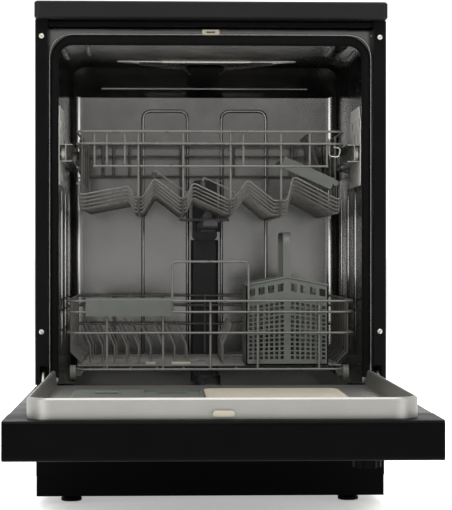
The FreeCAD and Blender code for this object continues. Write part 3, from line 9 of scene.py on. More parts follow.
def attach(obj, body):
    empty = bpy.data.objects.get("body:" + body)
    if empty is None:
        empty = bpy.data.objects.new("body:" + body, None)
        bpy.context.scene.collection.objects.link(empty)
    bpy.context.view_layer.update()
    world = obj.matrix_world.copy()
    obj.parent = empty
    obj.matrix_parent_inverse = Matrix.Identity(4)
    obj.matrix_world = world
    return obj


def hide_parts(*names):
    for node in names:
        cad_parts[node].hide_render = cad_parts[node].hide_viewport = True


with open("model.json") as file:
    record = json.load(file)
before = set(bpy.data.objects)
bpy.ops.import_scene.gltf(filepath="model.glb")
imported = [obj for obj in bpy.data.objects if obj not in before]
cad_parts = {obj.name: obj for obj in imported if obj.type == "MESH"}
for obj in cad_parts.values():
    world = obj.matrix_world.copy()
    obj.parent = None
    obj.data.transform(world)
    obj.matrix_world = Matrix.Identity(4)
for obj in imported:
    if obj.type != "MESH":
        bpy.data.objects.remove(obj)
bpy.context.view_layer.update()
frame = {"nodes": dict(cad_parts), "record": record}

mm = 0.001
nodes = frame["nodes"]


def linear(code):  # sRGB hex to linear rgba
    parts = [int(code[i:i + 2], 16) / 255 for i in (1, 3, 5)]
    return tuple(c / 12.92 if c <= 0.04045 else ((c + 0.055) / 1.055) ** 2.4 for c in parts) + (1.0,)


def addNode(tree, kind, settings={}, links={}):  # one node, its values and what feeds it
    node = tree.nodes.new(kind)
    for key, value in settings.items():
        if key == "tones":  # the two ends of a colour ramp
            for stop, code in zip(node.color_ramp.elements, value):
                stop.color = linear(code)
        elif isinstance(key, int) or key in node.inputs:
            node.inputs[key].default_value = value
        else:
            setattr(node, key, value)
    for key, source in links.items():
        tree.links.new(source, node.inputs[key])
    return node


def perMm(size):  # texture scale for features of this many millimetres
    return 1000 / size


def startMaterial(name, look):
    material = bpy.data.materials.new(name)
    material.use_nodes = True
    tree = material.node_tree
    shader = tree.nodes["Principled BSDF"]
    for socket, value in look.items():
        shader.inputs[socket].default_value = linear(value) if isinstance(value, str) else value
    place = addNode(tree, "ShaderNodeTexCoord")
    return material, tree, shader, place.outputs["Object"]


# a finish made of layers of noise, sized in millimetres, that tint it, dull it or stand in relief (depth, strength)
def surface(name, look, *layers):
    material, tree, shader, at = startMaterial(name, look)
    normal = None
    for layer in layers:
        where = at
        if "stretch" in layer:  # drawn out along the way the sheet was rolled
            drawn = addNode(tree, "ShaderNodeMapping", {"Scale": layer["stretch"]}, {"Vector": at})
            where = drawn.outputs["Vector"]
        noise = addNode(tree, "ShaderNodeTexNoise", {"Scale": perMm(layer["size"]), "Detail": layer["detail"],
                                                     "Roughness": layer.get("rag", 0.5)}, {"Vector": where})
        cloud = noise.outputs["Fac"]
        if "tint" in layer:
            ramp = addNode(tree, "ShaderNodeValToRGB", {"tones": layer["tint"]}, {"Fac": cloud})
            tree.links.new(ramp.outputs["Color"], shader.inputs["Base Color"])
        if "rough" in layer:  # noise keeps near its middle, so 0.3 to 0.7 is stretched to the whole range
            low, high = layer["rough"]
            dull = addNode(tree, "ShaderNodeMapRange",
                           {"From Min": 0.3, "From Max": 0.7, "To Min": low, "To Max": high}, {"Value": cloud})
            tree.links.new(dull.outputs["Result"], shader.inputs["Roughness"])
        if "relief" in layer:
            depth, strength = layer["relief"]
            relief = addNode(tree, "ShaderNodeBump", {"Distance": depth * mm, "Strength": strength},
                             {"Height": cloud})
            if normal:
                tree.links.new(normal, relief.inputs["Normal"])
            normal = relief.outputs["Normal"]
            tree.links.new(normal, shader.inputs["Normal"])
    return material


# hot-dip galvanised sheet: pale zinc crystals about 7 mm across, each with its own tone
def galvanisedSheet():
    look = {"Base Color": "#a3a8aa", "Metallic": 1.0, "Roughness": 0.42}
    material, tree, shader, at = startMaterial("galvanisedSheet", look)
    warp = addNode(tree, "ShaderNodeTexNoise", {"Scale": perMm(9), "Detail": 2.0}, {"Vector": at})
    warped = addNode(tree, "ShaderNodeMix", {"data_type": "VECTOR", "Factor": 0.006},
                     {4: at, 5: warp.outputs["Color"]})
    spangle = addNode(tree, "ShaderNodeTexVoronoi", {"Scale": perMm(7)}, {"Vector": warped.outputs[1]})
    tone = addNode(tree, "ShaderNodeSeparateColor", {}, {"Color": spangle.outputs["Color"]})
    ramp = addNode(tree, "ShaderNodeValToRGB", {"tones": ("#989c9e", "#a5a9aa")}, {"Fac": tone.outputs["Red"]})
    tree.links.new(ramp.outputs["Color"], shader.inputs["Base Color"])
    rough = addNode(tree, "ShaderNodeMapRange", {"To Min": 0.4, "To Max": 0.46}, {"Value": tone.outputs["Green"]})
    tree.links.new(rough.outputs["Result"], shader.inputs["Roughness"])
    return material


# moulded engineering plastic: even colour, slightly clouded, with a light tool grain drawn coarser than real to show
def mouldedPlastic(name, dark, light, rough, grainMm):
    return surface(name, {"Base Color": light, "Roughness": rough, "IOR": 1.48},
                   {"size": 18, "detail": 3.0, "tint": (dark, light), "rough": (rough - 0.05, rough + 0.07)},
                   {"size": grainMm, "detail": 2.0, "relief": (0.04, 0.15)})


finishes = {
    # melamine laminate pressed against a satin plate: matt black, its fine pebble drawn coarser than real to show
    "black_laminate": surface(
        "blackLaminate", {"Base Color": "#0f0f10", "Roughness": 0.45, "IOR": 1.5, "Specular IOR Level": 0.2},
        {"size": 60, "detail": 2.0, "tint": ("#0d0d0e", "#0f0f10"), "rough": (0.43, 0.47)},
        {"size": 1.6, "detail": 3.0, "relief": (0.12, 0.35)}),
    # stove enamel sprayed on sheet steel: even black, semi-gloss, with a faint orange peel
    "black_enamel": surface(
        "blackEnamel", {"Base Color": "#060607", "Roughness": 0.34, "IOR": 1.5, "Specular IOR Level": 0.08},
        {"size": 85, "detail": 3.0, "tint": ("#050506", "#080809"), "rough": (0.29, 0.4)},
        {"size": 3.2, "detail": 1.0, "relief": (0.05, 0.22)}),
    # ABS moulded in a spark-eroded tool: black, its fine grain drawn coarser than real to show
    "black_abs": surface(
        "blackAbs", {"Base Color": "#060607", "Roughness": 0.42, "IOR": 1.54, "Specular IOR Level": 0.03},
        {"size": 45, "detail": 2.0, "tint": ("#030304", "#060607"), "rough": (0.37, 0.48)},
        {"size": 0.9, "detail": 2.0, "relief": (0.05, 0.3)}),
    # polypropylene with talc, moulded: waxy charcoal, slightly clouded
    # its fine grain is drawn coarser than real to show
    "black_polypropylene": surface(
        "blackPolypropylene", {"Base Color": "#1d1d1e", "Roughness": 0.48, "IOR": 1.49},
        {"size": 22, "detail": 4.0, "tint": ("#202021", "#2d2d2e"), "rough": (0.42, 0.56)},
        {"size": 1.1, "detail": 2.0, "relief": (0.06, 0.25)}),
    "galvanised_sheet": galvanisedSheet(),
    # bright-annealed stainless sheet, deep drawn: dark mirror, slightly wavy, with a hazy film
    # its faint rolling lines are drawn coarser than real to show
    "stainless_tub": surface(
        "stainlessTub", {"Base Color": "#919090", "Metallic": 1.0, "Roughness": 0.18},
        {"size": 70, "detail": 5.0, "rag": 0.6, "tint": ("#8c8b8a", "#969594"), "rough": (0.14, 0.21)},
        {"size": 130, "detail": 1.0, "relief": (0.6, 0.2)},
        {"size": 1.4, "detail": 2.0, "stretch": (1.0, 1.0, 0.06), "relief": (0.01, 0.15)}),
    # satin-rolled stainless sheet: pale, with a grain across the door, drawn coarser than real to show
    "stainless_liner": surface(
        "stainlessLiner", {"Base Color": "#a09f9b", "Metallic": 1.0, "Roughness": 0.42},
        {"size": 55, "detail": 4.0, "tint": ("#969591", "#a5a4a0")},
        {"size": 1.2, "detail": 3.0, "stretch": (0.03, 1.0, 1.0), "rough": (0.36, 0.48), "relief": (0.015, 0.5)}),
    # rolled stainless channel: bright, its drawing lines along the run drawn coarser than real to show
    "stainless_rail": surface(
        "stainlessRail", {"Base Color": "#bcbbb7", "Metallic": 1.0, "Roughness": 0.26},
        {"size": 0.9, "detail": 2.0, "stretch": (1.0, 0.02, 1.0), "tint": ("#a9a8a4", "#cbcac6"),
         "rough": (0.2, 0.34), "relief": (0.012, 0.4)}),
    # zinc-plated pressed steel: cool grey with a faint yellow passivation
    # its grain is drawn coarser than real to show
    "zinc_steel": surface(
        "zincSteel", {"Base Color": "#b5b7b8", "Metallic": 1.0, "Roughness": 0.36},
        {"size": 14, "detail": 4.0, "tint": ("#a9adb1", "#bfbba9"), "rough": (0.28, 0.44)},
        {"size": 1.2, "detail": 2.0, "relief": (0.02, 0.3)}),
    # extruded EPDM: matt black rubber with a dusty bloom, its fine skin drawn coarser than real to show
    "epdm_rubber": surface(
        "epdmRubber", {"Base Color": "#080808", "Roughness": 0.72, "IOR": 1.52, "Specular IOR Level": 0.1},
        {"size": 12, "detail": 5.0, "tint": ("#060606", "#0c0c0c"), "rough": (0.62, 0.8)},
        {"size": 0.8, "detail": 2.0, "relief": (0.05, 0.3)}),
    "cream_acetal": mouldedPlastic("creamAcetal", "#a7a08f", "#b2ab9b", 0.5, 0.8),
    "white_acetal": mouldedPlastic("whiteAcetal", "#d3d1ca", "#dedcd6", 0.32, 0.8),
    "grey_acetal": mouldedPlastic("greyAcetal", "#6b6d66", "#7d7f77", 0.4, 0.8),
    "grey_green_plastic": mouldedPlastic("greyGreenPlastic", "#4b4e49", "#565954", 0.46, 1.0),
    "grey_polypropylene": mouldedPlastic("greyPolypropylene", "#454646", "#525353", 0.5, 1.1),
    # steel wire dipped in nylon powder: soft satin skin, a little lumpy, darker where it pooled
    "nylon_coated_wire": surface(
        "nylonCoatedWire", {"Base Color": "#615d55", "Roughness": 0.3, "IOR": 1.53},
        {"size": 30, "detail": 3.0, "tint": ("#555350", "#686661"), "rough": (0.24, 0.36)},
        {"size": 3.5, "detail": 1.0, "relief": (0.12, 0.25)}),
}
for row in frame["record"]["subparts"]:
    mesh = nodes[row["node"]].data
    mesh.materials.clear()
    mesh.materials.append(finishes[row["material_slot"]])
print("materials:", len(finishes))

# shared makers: places are in millimetres in the frame and turned to metres here
shared = {"crease": math.radians(32), "bendShare": 0.45, "ringSteps": 8, "wireSteps": 2, "edgeSteps": 3,
          "weld": 0.1, "butt": 0.2, "overlap": 2}


def settle(piece, slotName, body, stands):
    bpy.context.scene.collection.objects.link(piece)
    piece.data.materials.append(finishes[slotName])
    if stands:
        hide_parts(*stands)
    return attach(piece, body)


def meshPiece(name, build, slotName, body, *stands):
    bmesh.ops.recalc_face_normals(build, faces=build.faces)
    bmesh.ops.scale(build, vec=(mm, mm, mm), verts=build.verts)
    mesh = bpy.data.meshes.new(name)
    build.to_mesh(mesh)
    build.free()
    mesh.polygons.foreach_set("use_smooth", [True] * len(mesh.polygons))
    mesh.set_sharp_from_angle(angle=shared["crease"])
    return settle(bpy.data.objects.new(name, mesh), slotName, body, stands)


def turnedName(node):
    return node.replace("_", "") + "Turned"


def bent(route, radius, steps=5):  # each corner of the route drawn as a short round bend
    points = [Vector(spot) for spot in route]
    most = shared["bendShare"]
    line = [points[0]]
    for before, here, after in zip(points, points[1:], points[2:]):
        back, on = before - here, after - here
        reach = min(radius / math.tan(back.angle(on) / 2), most * back.length, most * on.length)
        start, end = here + back.normalized() * reach, here + on.normalized() * reach
        for i in range(steps + 1):
            t = i / steps
            line.append(start * (1 - t) ** 2 + here * (2 * t * (1 - t)) + end * t ** 2)
    return line + [points[-1]]


def wirePiece(name, lines, thick, slotName, body, *stands, swell=None):
    curve = bpy.data.curves.new(name, "CURVE")
    curve.dimensions = "3D"
    curve.bevel_depth = thick / 2 * mm
    curve.bevel_resolution = shared["wireSteps"]
    curve.use_fill_caps = True
    for line in lines:
        spline = curve.splines.new("POLY")
        spline.points.add(len(line) - 1)
        for i, (point, spot) in enumerate(zip(spline.points, line)):
            point.co = (*(Vector(spot) * mm), 1.0)
            if swell:
                point.radius = swell(i / (len(line) - 1))
    return settle(bpy.data.objects.new(name, curve), slotName, body, stands)


def lathe(build, profile, centre, axis, sides):  # (radius, height) profile spun about the axis
    turn = Vector((0, 0, 1)).rotation_difference(Vector(axis)).to_matrix()
    rings = []
    for radius, height in profile:
        ring = []
        for i in range(sides if radius > 0 else 1):
            angle = 2 * math.pi * i / sides
            spot = Vector((radius * math.cos(angle), radius * math.sin(angle), height))
            ring.append(build.verts.new(Vector(centre) + turn @ spot))
        rings.append(ring)
    for a, b in zip(rings, rings[1:]):
        for i in range(sides):
            j = (i + 1) % sides
            loop = [a[i % len(a)], a[j % len(a)], b[j % len(b)], b[i % len(b)]]
            build.faces.new(list(dict.fromkeys(loop)))


def skin(build, rings):  # faces between closed rings of equal count, with both ends shut
    count = len(rings[0])
    for a, b in zip(rings, rings[1:]):
        for i in range(count):
            j = (i + 1) % count
            build.faces.new((a[i], a[j], b[j], b[i]))
    build.faces.new(rings[0])
    build.faces.new(rings[-1])


def softBlock(build, low, high, edge):  # block with rounded edges
    low, high = Vector(low), Vector(high)
    place = Matrix.Translation((low + high) / 2) @ Matrix.Diagonal((*(high - low), 1))
    made = bmesh.ops.create_cube(build, size=1.0, matrix=place)
    edges = list({e for v in made["verts"] for e in v.link_edges})
    bmesh.ops.bevel(build, geom=edges, offset=edge, segments=shared["edgeSteps"], profile=0.5, affect="EDGES")


def pierced(build, us, vs, isHole, place, thick):  # sheet on a grid of breaks, open where isHole says
    spots = {}
    for i, u in enumerate(us):
        for j, v in enumerate(vs):
            spots[i, j] = build.verts.new(place(u, v))
    sheet = []
    for i in range(len(us) - 1):
        for j in range(len(vs) - 1):
            if not isHole(i, j):
                corners = (spots[i, j], spots[i + 1, j], spots[i + 1, j + 1], spots[i, j + 1])
                sheet.append(build.faces.new(corners))
    loose = [spot for spot in spots.values() if not spot.link_faces]
    bmesh.ops.delete(build, geom=loose, context="VERTS")
    bmesh.ops.solidify(build, geom=sheet, thickness=thick)


def breaks(start, margin, count, hole, bar):  # grid lines for a row of equal holes between margins
    lines = [start, start + margin]
    for i in range(count):
        lines.append(lines[-1] + hole)
        lines.append(lines[-1] + (bar if i < count - 1 else margin))
    return lines


# upper basket: three rails round it, wavy floor wires that step down behind the front, runners below
upperBasket = {
    "half": 231, "front": 100, "back": 521, "rails": (640, 619, 580), "thick": 4.0, "corner": 26, "sideEnd": 32,
    "frontUprights": (-0.866, -0.775, -0.64, 0.247, 0.745, 0.874), "uprightFoot": 1.1,
    "floorThick": 3.2, "base": 520, "hem": 35, "edges": (10, 0), "softness": 7,
    "peaks": (-0.615, -0.42, -0.13, 0.281, 0.623), "peakRise": (26, 40, 32, 37, 44),
    "valleys": ((-0.567, -0.511), (-0.225, -0.182), (0.13, 0.173), (0.48, 0.58)), "valleyRise": (6, 5, 3, 1),
    "inset": 14, "stepRows": 5, "stepPitch": 9, "drop": 24, "levelRows": 8, "gap": 3.7,
    "runnerEnds": (7.5, 6.2), "runnerBend": 12,
}


def floorWave(drop):
    b = upperBasket
    side = b["half"] - b["gap"]
    low = b["base"] - drop
    line = [(-side, b["base"] + b["hem"]), (-side, low + b["edges"][0])]
    for i, (share, rise) in enumerate(zip(b["peaks"], b["peakRise"])):
        line.append((share * b["half"], low + rise))
        if i < len(b["valleys"]):
            line += [(valley * b["half"], low + b["valleyRise"][i]) for valley in b["valleys"][i]]
    return line + [(side, low + b["edges"][1]), (side, b["base"] + b["hem"])]


def floorRows():  # place and drop of each wave wire, and the pitch of the level ones
    b = upperBasket
    first = b["front"] + b["inset"]
    rows = [(first + i * b["stepPitch"], b["drop"] * i / (b["stepRows"] - 1)) for i in range(b["stepRows"])]
    last = rows[-1][0]
    pitch = (b["back"] - b["inset"] - last) / b["levelRows"]
    return rows + [(last + (i + 1) * pitch, b["drop"]) for i in range(b["levelRows"])], pitch


def valleyMiddles():
    b = upperBasket
    return [(sum(pair) / 2 * b["half"], b["base"] + rise)
            for pair, rise in zip(b["valleys"], b["valleyRise"])]


def upperFloorWires():
    b = upperBasket
    rows, pitch = floorRows()
    waves = [bent([(x, y, z) for x, z in floorWave(drop)], b["softness"]) for y, drop in rows]
    fall = b["drop"] / ((b["stepRows"] - 1) * b["stepPitch"])
    steep = b["gap"] * math.hypot(1, fall)
    first = rows[0][0]
    near, far = b["front"] + b["runnerEnds"][0], b["back"] - b["runnerEnds"][1]
    runners = []
    for x, z in valleyMiddles():
        level = z - b["drop"] - b["gap"]
        kink = first + (b["drop"] + b["gap"] - steep) / fall
        start = z + fall * (first - near) - steep
        runners.append(bent([(x, near, start), (x, kink, level), (x, far, level)], b["runnerBend"]))
    wirePiece("upperFloorWaves", waves, b["floorThick"], "nylon_coated_wire", "upper_basket",
              "upper_basket_floor")
    wirePiece("upperFloorRunners", runners, b["thick"], "nylon_coated_wire", "upper_basket")


def railRing(half, front, back, z, corner):  # rail round four sides with bent corners, butt welded at the back
    route = [(0, back, z), (-half, back, z), (-half, front, z), (half, front, z), (half, back, z),
             (shared["butt"], back, z)]
    return bent(route, corner, shared["ringSteps"])


def upperWallWires():
    b = upperBasket
    half, front, back = b["half"], b["front"], b["back"]
    step, over = b["thick"] + shared["weld"], shared["overlap"]
    top, middle, low = b["rails"]
    wires = [railRing(half, front, back, z, b["corner"]) for z in (top, middle)]
    left, right = b["frontUprights"][0] * half - over, b["frontUprights"][-1] * half + over
    wires.append([(left, front, low), (right, front, low)])
    start, end = front + b["sideEnd"], back - b["sideEnd"]
    threeSides = [(-half, start, low), (-half, back, low), (half, back, low), (half, start, low)]
    wires.append(bent(threeSides, b["corner"], shared["ringSteps"]))
    rows, pitch = floorRows()
    hemZ = b["base"] + b["hem"] - b["thick"]
    for side in (-1, 1):
        wires.append([(side * half, start, hemZ), (side * half, end, hemZ)])
        for y, drop in rows[b["stepRows"]:-1:2]:
            wires.append([(side * (half - step), y + pitch / 2, z) for z in (hemZ - over, top)])
    for x, z in valleyMiddles():  # uprights that end on the runners
        wires.append([(x, front + step, z + b["uprightFoot"]), (x, front + step, top)])
        wires.append([(x, back - step, z - b["drop"] - b["gap"] - over), (x, back - step, top)])
    for share in b["frontUprights"]:
        for y in (front + step, back - step):
            wires.append([(share * half, y, low - over), (share * half, y, top)])
    wirePiece("upperWallWires", wires, b["thick"], "nylon_coated_wire", "upper_basket", "upper_basket_walls")


# glass rests: two thin props across the wave, and the bent hook beside the cup shelf
glassRests = {
    "y": 118.5, "thick": 2.6, "propBend": 3, "hookBend": 6,
    "props": ((-97.7, 562, 574, -42.2, 536, 527), (-12.7, 546, 562, 42.8, 536, 527)),
    "hook": ((206, 109, 628), (206, 109, 598), (223, 109, 596), (226, 109, 612), (214, 109, 614)),
    "clipHalf": (4, 3.5), "clipDrop": 3, "clipRise": 8, "clipEdge": 1.2,
}


def glassRestWires():
    g = glassRests
    y, (wide, deep) = g["y"], g["clipHalf"]
    props = []
    clips = bmesh.new()
    for x0, foot0, top0, x1, top1, foot1 in g["props"]:
        props.append(bent([(x0, y, foot0), (x0, y, top0), (x1, y, top1), (x1, y, foot1)], g["propBend"]))
        softBlock(clips, (x0 - wide, y - deep, foot0 - g["clipDrop"]), (x0 + wide, y + deep, foot0 + g["clipRise"]),
                  g["clipEdge"])
    wirePiece("glassProps", props, g["thick"], "nylon_coated_wire", "upper_basket")
    meshPiece("glassPropClips", clips, "black_polypropylene", "upper_basket")
    wirePiece("shelfHook", [bent(g["hook"], g["hookBend"])], g["thick"], "stainless_rail", "upper_basket")


upperFloorWires()
upperWallWires()
glassRestWires()
print("upper basket wires bent")


# lower basket: rails, a narrower floor ring, kinked side wires, handle loop and plate tines
lowerBasket = {
    "half": 248, "footHalf": 231, "front": 100, "back": 521, "floor": 229, "thick": 4.0, "corner": 26,
    "rails": (347, 328, 292), "uprights": (-0.72, -0.33, 0.0, 0.33, 0.76), "kink": (27, 11), "kinkBend": 6,
    "acrossRows": 9, "alongRows": 9, "loopHalf": 66, "loopTop": 415, "loopCorner": 10,
    "tineThick": 3.2, "tineLow": 30, "tineHigh": 36, "lean": 16, "tineBend": 14,
    "tineFirst": 153, "tinePitch": 36, "tineCount": 9, "railEnd": 9, "tineRows": slice(1, None, 3),
    "columns": 9, "columnFirst": -40, "columnPitch": 21.3, "sideRow": 196, "sideFirst": 4, "foldingRow": 24,
    "clips": ((-104, 9), (-50, 17)), "clipHalf": 4, "clipDrop": 1, "clipRise": 4, "clipEdge": 1.2,
}


def acrossPlaces():
    b = lowerBasket
    pitch = (b["back"] - b["front"] - 2 * b["corner"]) / b["acrossRows"]
    return [b["front"] + b["corner"] + (i + 0.5) * pitch for i in range(b["acrossRows"])], pitch


def lowerFloorWires():
    b = lowerBasket
    step, half, z = b["thick"] + shared["weld"], b["footHalf"], b["floor"]
    pitch = 2 * half / (b["alongRows"] + 1)
    wires = []
    for i in range(b["alongRows"]):
        x = -half + pitch * (i + 1)
        wires.append([(x, b["front"] + step, z), (x, b["back"] - step, z)])
    for y in acrossPlaces()[0]:
        wires.append([(-half, y, z + step), (half, y, z + step)])
    wirePiece("lowerFloorWires", wires, b["thick"], "nylon_coated_wire", "lower_basket", "lower_basket_floor")


def lowerWallWires():
    b = lowerBasket
    step, floor, over = b["thick"] + shared["weld"], b["floor"], shared["overlap"]
    top = b["rails"][0]
    wires = [railRing(b["half"], b["front"], b["back"], z, b["corner"]) for z in b["rails"]]
    wires.append(railRing(b["footHalf"], b["front"], b["back"], floor, b["corner"]))
    places, pitch = acrossPlaces()
    for side in (-1, 1):
        wide, narrow = side * (b["half"] - step), side * (b["footHalf"] - step)
        line = [(wide, top), (wide, floor + b["kink"][0]), (narrow, floor + b["kink"][1]), (narrow, floor)]
        for y in places[:-1]:
            wires.append(bent([(x, y + pitch / 2, z) for x, z in line], b["kinkBend"]))
    for y in (b["front"] + step, b["back"] - step):
        for share in b["uprights"]:
            wires.append([(share * b["half"], y, floor + over), (share * b["half"], y, top)])
    y, half, foot = b["front"] + step, b["loopHalf"], b["rails"][1] - over
    loop = [(-half, y, foot), (-half, y, b["loopTop"]), (half, y, b["loopTop"]), (half, y, foot)]
    wires.append(bent(loop, b["loopCorner"], shared["ringSteps"]))
    wirePiece("lowerWallWires", wires, b["thick"], "nylon_coated_wire", "lower_basket", "lower_basket_walls")


def tine(x, y, foot, lean):
    b = lowerBasket
    bend = foot + b["tineLow"]
    return bent([(x, y, foot), (x, y, bend), (x + lean, y, bend + b["tineHigh"])], b["tineBend"])


def tineRow(x, lean, places):  # a rail from front to back and the tines that stand on it
    b = lowerBasket
    z = b["floor"] + 2 * (b["thick"] + shared["weld"])
    rail = [(x, places[0] - b["railEnd"], z), (x, places[-1] + b["railEnd"], z)]
    return rail, [tine(x, y, z + b["thick"] / 2, lean) for y in places]


def plateTines():
    b = lowerBasket
    places = [b["tineFirst"] + i * b["tinePitch"] for i in range(b["tineCount"])]
    weld = b["floor"] + b["thick"] + shared["weld"]
    rows = acrossPlaces()[0][b["tineRows"]]
    columns = [b["columnFirst"] - i * b["columnPitch"] for i in range(b["columns"])]
    standing = [tine(x, y, weld + b["thick"] / 2, -b["lean"]) for y in rows for x in columns]
    rail, side = tineRow(b["sideRow"], b["lean"], places[b["sideFirst"]:])
    wirePiece("fixedTines", standing + side, b["tineThick"], "nylon_coated_wire", "lower_basket", "fixed_tines")
    wirePiece("sideTineRail", [rail], b["thick"], "nylon_coated_wire", "lower_basket")
    rail, tines = tineRow(b["foldingRow"], b["lean"], [y + b["tinePitch"] / 2 for y in places])
    wirePiece("foldingTines", tines, b["tineThick"], "nylon_coated_wire", "folding_tines", "folding_tines")
    wirePiece("foldingTineRail", [rail], b["thick"], "nylon_coated_wire", "folding_tines")
    clips = bmesh.new()  # clips that lock two of the tine feet to the floor
    for x, half in b["clips"]:
        softBlock(clips, (x - half, rows[0] - b["clipHalf"], weld - b["clipDrop"]),
                  (x + half, rows[0] + b["clipHalf"], weld + b["clipRise"]), b["clipEdge"])
    meshPiece("tineClips", clips, "cream_acetal", "lower_basket")


lowerFloorWires()
lowerWallWires()
plateTines()
print("lower basket wires bent")


# cutlery basket: two cells of pierced walls under a pitched rim with windows, and an arched strap
cutlery = {
    "left": 62, "right": 205, "front": 111, "back": 261, "low": 235.4, "sideTop": 374, "apex": 388, "wall": 2.4,
    "share": 0.80, "rim": 0.07, "barShare": 0.45, "rows": 13, "columns": 7, "post": 12, "margin": 5, "bar": 3.2,
    "windows": 4, "windowBar": 6.0, "windowShares": (0.05, 0.14),
    "sideHoles": 13, "sideHole": 7.0, "floorHoles": 13, "floorHole": 6.5,
    "dividerHalf": 1.2, "dividerInset": (2, 1, 3), "dividerEdge": 0.5, "bead": 2.0, "beadSides": 10,
    "strapTop": 465, "strapFoot": 27, "strapInset": 3.5, "strapWide": 14, "strapThick": 3.2, "strapCorner": 24,
    "strapSection": ((-1, -0.6), (-0.85, -1), (0.85, -1), (1, -0.6), (1, 0.6), (0.85, 1), (-0.85, 1), (-1, 0.6)),
}


def cutleryShell():
    c = cutlery
    middle = (c["left"] + c["right"]) / 2
    halfWide = (c["right"] - c["left"]) / 2
    low, wall = c["low"], c["wall"]

    def roof(x):
        return c["apex"] - (c["apex"] - c["sideTop"]) * abs(x - middle) / halfWide

    def halfBreaks(count, bar):  # breaks of the left half, mirrored about the post
        wide = halfWide - c["margin"] - c["post"] / 2
        hole = (wide - bar * (count - 1)) / count
        left = breaks(c["left"], c["margin"], count, hole, bar)[:-1]
        return left + [2 * middle - x for x in reversed(left)]

    def evenBreaks(start, end, margin, count, hole):
        return breaks(start, margin, count, hole, (end - start - 2 * margin - count * hole) / (count - 1))

    build = bmesh.new()
    rowHole = (c["share"] - 2 * c["rim"]) / ((1 + c["barShare"]) * c["rows"] - c["barShare"])
    latticeZ = breaks(0.0, c["rim"], c["rows"], rowHole, c["barShare"] * rowHole)  # as parts of the wall's height
    latticeX = halfBreaks(c["columns"], c["bar"])
    windowX = halfBreaks(c["windows"], c["windowBar"])
    windowZ = [c["share"], *(c["share"] + part for part in c["windowShares"]), 1.0]
    post = len(latticeX) // 2 - 1
    windowPost = len(windowX) // 2 - 1
    for y, inward in ((c["front"], 1), (c["back"], -1)):
        def face(x, t):
            return (x, y, low + t * (roof(x) - low))
        pierced(build, latticeX, latticeZ, lambda i, j: i % 2 == 1 and j % 2 == 1 and i != post, face,
                inward * wall)
        pierced(build, windowX, windowZ, lambda i, j: i % 2 == 1 and j == 1 and i != windowPost, face,
                inward * wall)
    sideY = evenBreaks(c["front"], c["back"], 2 * c["margin"], c["sideHoles"], c["sideHole"])
    lastRow = len(latticeZ) - 1
    for x, inward in ((c["left"], -1), (c["right"], 1)):
        def flank(y, t):
            return (x, y, low + t * (c["sideTop"] - low))
        pierced(build, sideY, latticeZ + [1.0], lambda i, j: i % 2 == 1 and j % 2 == 1 and j < lastRow, flank,
                inward * wall)
    floorX = evenBreaks(c["left"], c["right"], c["margin"], c["floorHoles"], c["floorHole"])
    pierced(build, floorX, sideY, lambda i, j: i % 2 == 1 and j % 2 == 1, lambda x, y: (x, y, low), -wall)
    inset, lift, under = c["dividerInset"]
    softBlock(build, (middle - c["dividerHalf"], c["front"] + inset, low + lift),
              (middle + c["dividerHalf"], c["back"] - inset, c["apex"] - under), c["dividerEdge"])
    for y in (c["front"], c["back"]):  # ridge bead along each pitched rim
        for side in (-1, 1):
            top = Vector((middle, y, c["apex"]))
            way = Vector((middle + side * halfWide, y, c["sideTop"])) - top
            lathe(build, [(0, 0), (c["bead"], 0), (c["bead"], way.length), (0, way.length)], top, way,
                  c["beadSides"])
    meshPiece("cutleryBasket", build, "grey_green_plastic", "lower_basket", "cutlery_basket")


def cutleryStrap():
    c = cutlery
    middle = (c["left"] + c["right"]) / 2
    near, far = c["front"] + c["strapInset"], c["back"] - c["strapInset"]
    foot, top = c["apex"] - c["strapFoot"], c["strapTop"]
    route = bent([(0, near, foot), (0, near, top), (0, far, top), (0, far, foot)], c["strapCorner"],
                 shared["ringSteps"])
    wide = Vector((c["strapWide"] / 2, 0, 0))
    strap = bmesh.new()
    rings = []
    for i, spot in enumerate(route):
        way = (route[min(i + 1, len(route) - 1)] - route[max(i - 1, 0)]).normalized()
        out = Vector((0, way.z, -way.y)) * (c["strapThick"] / 2)
        base = Vector((middle, spot.y, spot.z))
        rings.append([strap.verts.new(base + a * wide + b * out) for a, b in c["strapSection"]])
    skin(strap, rings)
    meshPiece("cutleryStrap", strap, "grey_green_plastic", "lower_basket")


cutleryShell()
cutleryStrap()
print("cutlery basket pierced")


# turned pieces, their profiles as (radius, height) along the axle
wheels = {
    "x": 240, "z": 220.15, "sides": 48, "places": {"wheels_front": 163, "wheels_rear": 453},
    "profile": ((0, -17), (3, -17), (3, -5), (9, -5), (9.6, -3.5), (11, -3.5), (11.6, -5), (12.6, -5), (13, -4),
                (13, -1), (12.2, 0), (13, 1), (13, 4), (12.6, 5), (11.2, 5), (10.6, 3.4), (5, 3.4), (4.2, 5), (0, 5)),
}
rollers = {
    "z": 603, "sides": 48, "axle": 3,
    "tub": {"tub_rollers_front": 129, "tub_rollers_rear": 243}, "tubX": (251, 263.5),
    "basket": {"basket_rollers_front": 353, "basket_rollers_rear": 483}, "basketX": (248.5, 233.3),
    "profile": ((0, 0), (3.4, 0), (4, 0.8), (9.5, 0.8), (10.2, 0), (12, 0), (13, 1), (13, 6), (12, 7), (10.2, 7),
                (9.5, 6.2), (3, 6.2)),
}
feet = {
    "x": 241, "front": 131, "rear": 518, "sides": 40,
    "pad": ((0, 0), (16, 0), (17.4, 0.6), (18, 2), (18, 5), (17.4, 6.2), (10, 11), (9, 12), (5, 12)),
    "threads": 26, "pitch": 1.5, "threadStart": 12.5, "root": 4.8, "crest": 5.05, "end": ((4.2, 52), (0, 52)),
    "notches": 12, "notchReach": 16.9, "notchZ": 3.5, "notchHalf": (0.9, 0.9, 2.4), "notchEdge": 0.4,
}


